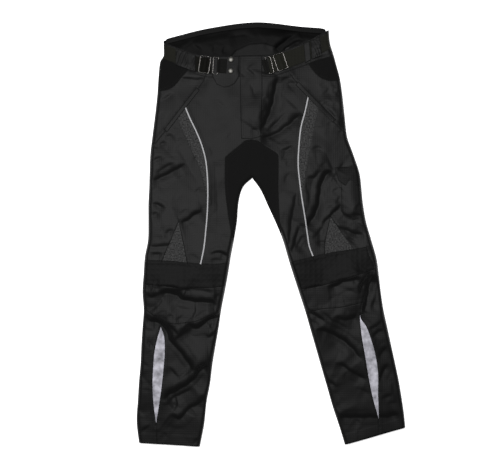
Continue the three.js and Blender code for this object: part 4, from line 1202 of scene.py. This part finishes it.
# Metal
def lathe(profile, centre, bottom, segments=40):
    """A turned piece on an upright axis, from (radius, height) pairs that start and end on the axis."""
    turn = np.linspace(0, 2 * math.pi, segments, endpoint=False)
    points = [(centre[0], centre[1], bottom + profile[0][1])]
    for radius, height in profile[1:-1]:
        points += [(centre[0] + radius * math.cos(a), centre[1] + radius * math.sin(a), bottom + height)
                   for a in turn]
    points.append((centre[0], centre[1], bottom + profile[-1][1]))
    last = len(points) - 1
    rings = len(profile) - 2
    faces = []
    for i in range(segments):
        j = (i + 1) % segments
        faces.append((0, 1 + j, 1 + i))
        for r in range(rings - 1):
            a, b = 1 + r * segments, 1 + (r + 1) * segments
            faces.append((a + i, a + j, b + j, b + i))
        top = 1 + (rings - 1) * segments
        faces.append((top + i, top + j, last))
    return points, faces


BAR_SIDES = 12


def swept(run, wide, up, is_closed):
    """A bar with a rounded section along a flat run of (x, y, z) points: up high, and as wide as the
    first of wide where it runs along x and as the second where it runs along y."""
    run = np.array(run, float)
    along = (np.roll(run, -1, axis=0) - np.roll(run, 1, axis=0)) if is_closed else np.gradient(run, axis=0)
    along[:, 2] = 0
    along /= np.linalg.norm(along, axis=1)[:, None]
    out = np.column_stack([along[:, 1], -along[:, 0], np.zeros(len(run))])
    across = wide[0] + (wide[1] - wide[0]) * np.abs(along[:, 1])
    turn = np.linspace(0, 2 * math.pi, BAR_SIDES, endpoint=False)
    side = across[:, None] / 2 * np.cos(turn)
    high = up / 2 * np.sin(turn)
    rings = run[:, None] + side[..., None] * out[:, None] + high[None, :, None] * np.array([0, 0, 1])
    count = len(run)
    faces = []
    for i in range(count if is_closed else count - 1):
        a, b = i * BAR_SIDES, ((i + 1) % count) * BAR_SIDES
        for k in range(BAR_SIDES):
            after = (k + 1) % BAR_SIDES
            faces.append((a + k, b + k, b + after, a + after))
    if not is_closed:
        faces.append(tuple(range(BAR_SIDES)))
        faces.append(tuple(reversed(range((count - 1) * BAR_SIDES, count * BAR_SIDES))))
    return rings.reshape(-1, 3).tolist(), faces


def joined(parts):
    """Several lists of points and faces as one."""
    points, faces = [], []
    for more, around in parts:
        start = len(points)
        points += list(more)
        faces += [tuple(start + i for i in face) for face in around]
    return points, faces


def turned_about(points, centre, turn, bottom):
    """Points of a piece's own frame, turned about the upright and set down in plan."""
    points = np.array(points, float)
    c, s = math.cos(math.radians(turn)), math.sin(math.radians(turn))
    return np.column_stack([
        centre[0] + c * points[:, 0] - s * points[:, 1],
        centre[1] + s * points[:, 0] + c * points[:, 1],
        bottom + points[:, 2],
    ])


def rounded_frame(width, height, corner):
    """The run of a rectangle with rounded corners."""
    run = []
    for quarter_turn, (i, j) in enumerate([(1, 1), (-1, 1), (-1, -1), (1, -1)]):
        for k in range(5):
            angle = math.pi / 2 * (quarter_turn + k / 4)
            run.append((i * (width / 2 - corner) + corner * math.cos(angle),
                        j * (height / 2 - corner) + corner * math.sin(angle), 0.0))
    return run


BAR_UP = 2.6
BARS = (1.0, 2.6)  # width of a buckle's level and upright bars
BAR_UNDER = 1.0  # how far a slider's middle bar lies under its frame
# Buckles: centre, width and height, breadth of a bar, turn in degrees, and whether it has a middle bar
BUCKLES = {
    "slider_right": ((-169, 434), (30, 46), 4.0, -9, True),
    "ring_right": ((-141, 431), (16, 46), 3.4, -3, False),
    "slider_left": ((24, 441), (30, 46), 4.0, 19, True),
    "ring_left": ((-3.5, 432), (16, 46), 3.4, 14, False),
}
STRAP_TOP = 2.6  # the webbing's top above the front
SNAPS = {"upper": (-102, 447), "lower": (-102.5, 418)}
# Radius and height round the dome of a snap
SNAP_PROFILE = [(0, 0), (7.2, 0), (7.5, 0.4), (7.4, 1.0), (6.8, 1.6), (5.6, 2.1), (4.2, 2.5), (2.2, 2.8),
                (0, 2.9)]


def top_near(centre, reach):
    """The highest point of the form round a place."""
    spread = np.linspace(-reach / 2, reach / 2, 9)
    x, y = np.meshgrid(centre[0] + spread, centre[1] + spread)
    return float(smooth_form(np.column_stack([x.ravel(), y.ravel()])).max())


def fitting(node, points, faces, material):
    """A metal piece in place of its node."""
    piece = mesh_object(f"{node}_shown", points, faces, MATERIALS[material])
    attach(piece, "root")
    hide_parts(node)


def add_buckle(name):
    """A slider or a ring, set down on its webbing."""
    centre, (width, height), bar, turn, is_slider = BUCKLES[name]
    frame_run = rounded_frame(width - bar, height - bar, 3.0)
    parts = [swept(frame_run, BARS, BAR_UP, True)]
    if is_slider:
        low, high = 0.7 * bar - height / 2, height / 2 - 0.7 * bar
        middle = [(0, y, -BAR_UNDER) for y in np.linspace(low, high, 9)]
        parts.append(swept(middle, BARS, BAR_UP, False))
    points, faces = joined(parts)
    bottom = top_near(centre, 0.8 * height) + STRAP_TOP + BAR_UP / 2
    fitting(f"buckle_{name}", turned_about(points, centre, turn, bottom), faces, "metal")


def add_snap(name, centre):
    """A snap on the front tab."""
    points, faces = lathe(SNAP_PROFILE, centre, top_near(centre, 15) + STRAP_TOP)
    fitting(f"snap_{name}", points, faces, "snap")


def pleats(start, end, count, height):
    """Gathers across the line from start to end, each a little different."""
    start, end = np.array(start, float), np.array(end, float)
    run = end - start
    length = np.hypot(*run)

    def form(points):
        share = (points - start) @ run / length ** 2
        across = ((points - start) @ np.array([-run[1], run[0]])) / length
        beat = count * share + 0.16 * np.sin(9 * share + across / 9) + 0.1 * np.sin(across / 4)
        uneven = 0.75 + 0.35 * np.sin(5 * share * count + 1)
        return height * uneven * np.abs(np.sin(math.pi * beat)) ** 0.8
    return form


def off_middle(buckle, points):
    """How far points lie off the upright line through the middle of a buckle, towards its right."""
    centre, _, _, turn, _ = BUCKLES[buckle]
    heading = np.array([math.cos(math.radians(turn)), math.sin(math.radians(turn))])
    return (points - np.array(centre)) @ heading


def over_ring(ring, towards):
    """The rise of a loop's webbing over the bar of its ring, of which it goes on towards one side."""
    width = BUCKLES[ring][1][0]

    def form(points):
        along = towards * off_middle(ring, points)
        return 3.2 * (1 - ease((along - width / 2 + 1) / 4.0))
    return form


def over_bar(slider):
    """The rise of the belt over the middle bar of its slider."""
    bar = BUCKLES[slider][2]

    def form(points):
        return 3.8 * (1 - ease((np.abs(off_middle(slider, points)) - 0.5 * bar) / 6.0))
    return form


def loop_outline(ring, reach, towards):
    """The outline of the webbing that holds a ring, from inside the ring to its reach beyond it."""
    centre, (width, height), bar, turn, _ = BUCKLES[ring]
    half = (height - 2 * bar - 3) / 2
    low, high = towards * (width / 2 - bar - 1.2), towards * (width / 2 + reach)
    corners = [(low, -half, 0), (high, -half, 0), (high, half, 0), (low, half, 0)]
    return turned_about(corners, centre, turn, 0)[:, :2]


def lie_on():
    """Everything that lies on the panels."""
    patch("fly_flap", FLY_FLAP, "front_cloth", 0.1, 1.2, soft=3.0, stitched=(2.4, 6.4))
    patch("front_tab", FRONT_TAB, "front_cloth", 0.1, 1.3, soft=3.0, stitched=(2.2,))
    patch("belt_strap_right", STRAP_RIGHT, "webbing", 0.3, 2.0, form=over_bar("slider_right"),
          finish="belt")
    patch("belt_strap_left", STRAP_LEFT, "webbing", 0.3, 2.0, form=over_bar("slider_left"))
    patch("belt_keeper_left", KEEPER_LEFT, "cloth", 2.6, 2.0)
    patch("belt_casing_right", CASING_RIGHT, "cloth", 2.6, 2.0, form=pleats((-243, 454), (-192, 436), 6, 1.5))
    patch("belt_casing_left", CASING_LEFT, "cloth", 2.6, 2.0, form=pleats((102, 471), (127, 482), 5, 1.5))
    patch("cargo_pocket", POCKET_BAG, "cloth", 0.05, 1.5, puff=2.4, soft=6.0, stitched=(2.6,))
    patch("cargo_flap", POCKET_FLAP, "cloth", 1.4, 1.5, puff=1.6, soft=5.0, stitched=(2.6, 7.0),
          finish="flap")
    for side, welt in (("right", WELT_RIGHT), ("left", WELT_LEFT)):
        patch(f"pocket_welt_{side}", ribbon(welt, WELT_WIDTH), "cloth", 0.2, 1.5, soft=1.4, stitched=(1.6,))
    for side, reach, towards in (("right", 20, 1), ("left", 9.5, -1)):
        ring = f"ring_{side}"
        patch(f"ring_loop_{side}", loop_outline(ring, reach, towards), "webbing", 2.6, 1.6,
              form=over_ring(ring, towards), finish="loop")
    for side, half in HALVES.items():
        run = half.seams["piping"][1][2:-2:2]
        length = float(np.hypot(*np.diff(run, axis=0).T).sum()) * MM
        patch(f"piping_{side}", ribbon(run, PIPING), "piping", 0.2, 1.0, soft=1.5, strip=(PIPING_CUT, length))
    for name in BUCKLES:
        add_buckle(name)
    for name, centre in SNAPS.items():
        add_snap(name, centre)


def add_lining():
    """The lining on the inside of the back: a dark yoke, whose colour is partly painted shade from the hollow
    under the front's waist, round a dome of the lining's panel.
    """
    upper = [(x, y - FACING) for x, y in BACK_WAIST if -268 < x < 146]
    yoke = upper + [(140, 420), (60, 384)] + LINING_DOME[::-1] + [(-150, 384), (-262, 420)]
    patch("lining_panel", LINING_DOME, "lining", 0.0, 0.9, base=inside_form, soft=4.0)
    patch("lining_yoke", yoke, "dark_lining", 0.0, 0.9, base=inside_form, soft=4.0)


# The scene
def set_stage():
    """A pale floor that is lit from within, faint light from all round, and a lamp beside the camera."""
    bpy.ops.mesh.primitive_plane_add(size=30)
    floor = bpy.context.object
    floor.name = "floor"
    pale, inputs = principled("floor", (0.9, 0.9, 0.9, 1), 0.9, gloss=0.0)
    inputs["Emission Color"].default_value = (1, 1, 1, 1)
    inputs["Emission Strength"].default_value = 0.7
    floor.data.materials.append(pale)
    world = bpy.data.worlds.new("studio")
    world.use_nodes = True
    around = world.node_tree.nodes["Background"].inputs
    around["Color"].default_value = (1, 1, 1, 1)
    around["Strength"].default_value = 0.06
    bpy.context.scene.world = world
    lamp = placed("lamp", bpy.data.lights.new("lamp", "AREA"))
    lamp.data.shape = "RECTANGLE"
    lamp.data.size = 0.8
    lamp.data.size_y = 0.8
    lamp.data.energy = 95
    lamp.location = (-0.35, 0.45, 2.9)
    lamp.rotation_euler = (-lamp.location).to_track_quat("-Z", "Y").to_euler()
    camera = placed("camera", bpy.data.cameras.new("camera"))
    camera.location = (-0.0536, 0.0102, 3.0)
    camera.data.sensor_width = 36
    camera.data.lens = 84.1
    bpy.context.scene.camera = camera
    bpy.context.scene.view_settings.view_transform = "Standard"


for side_name, half in HALVES.items():
    front_pieces(side_name, half)
    back_pieces(side_name, half)
add_lining()
lie_on()
seam_stitches()
add_stitches()
set_stage()
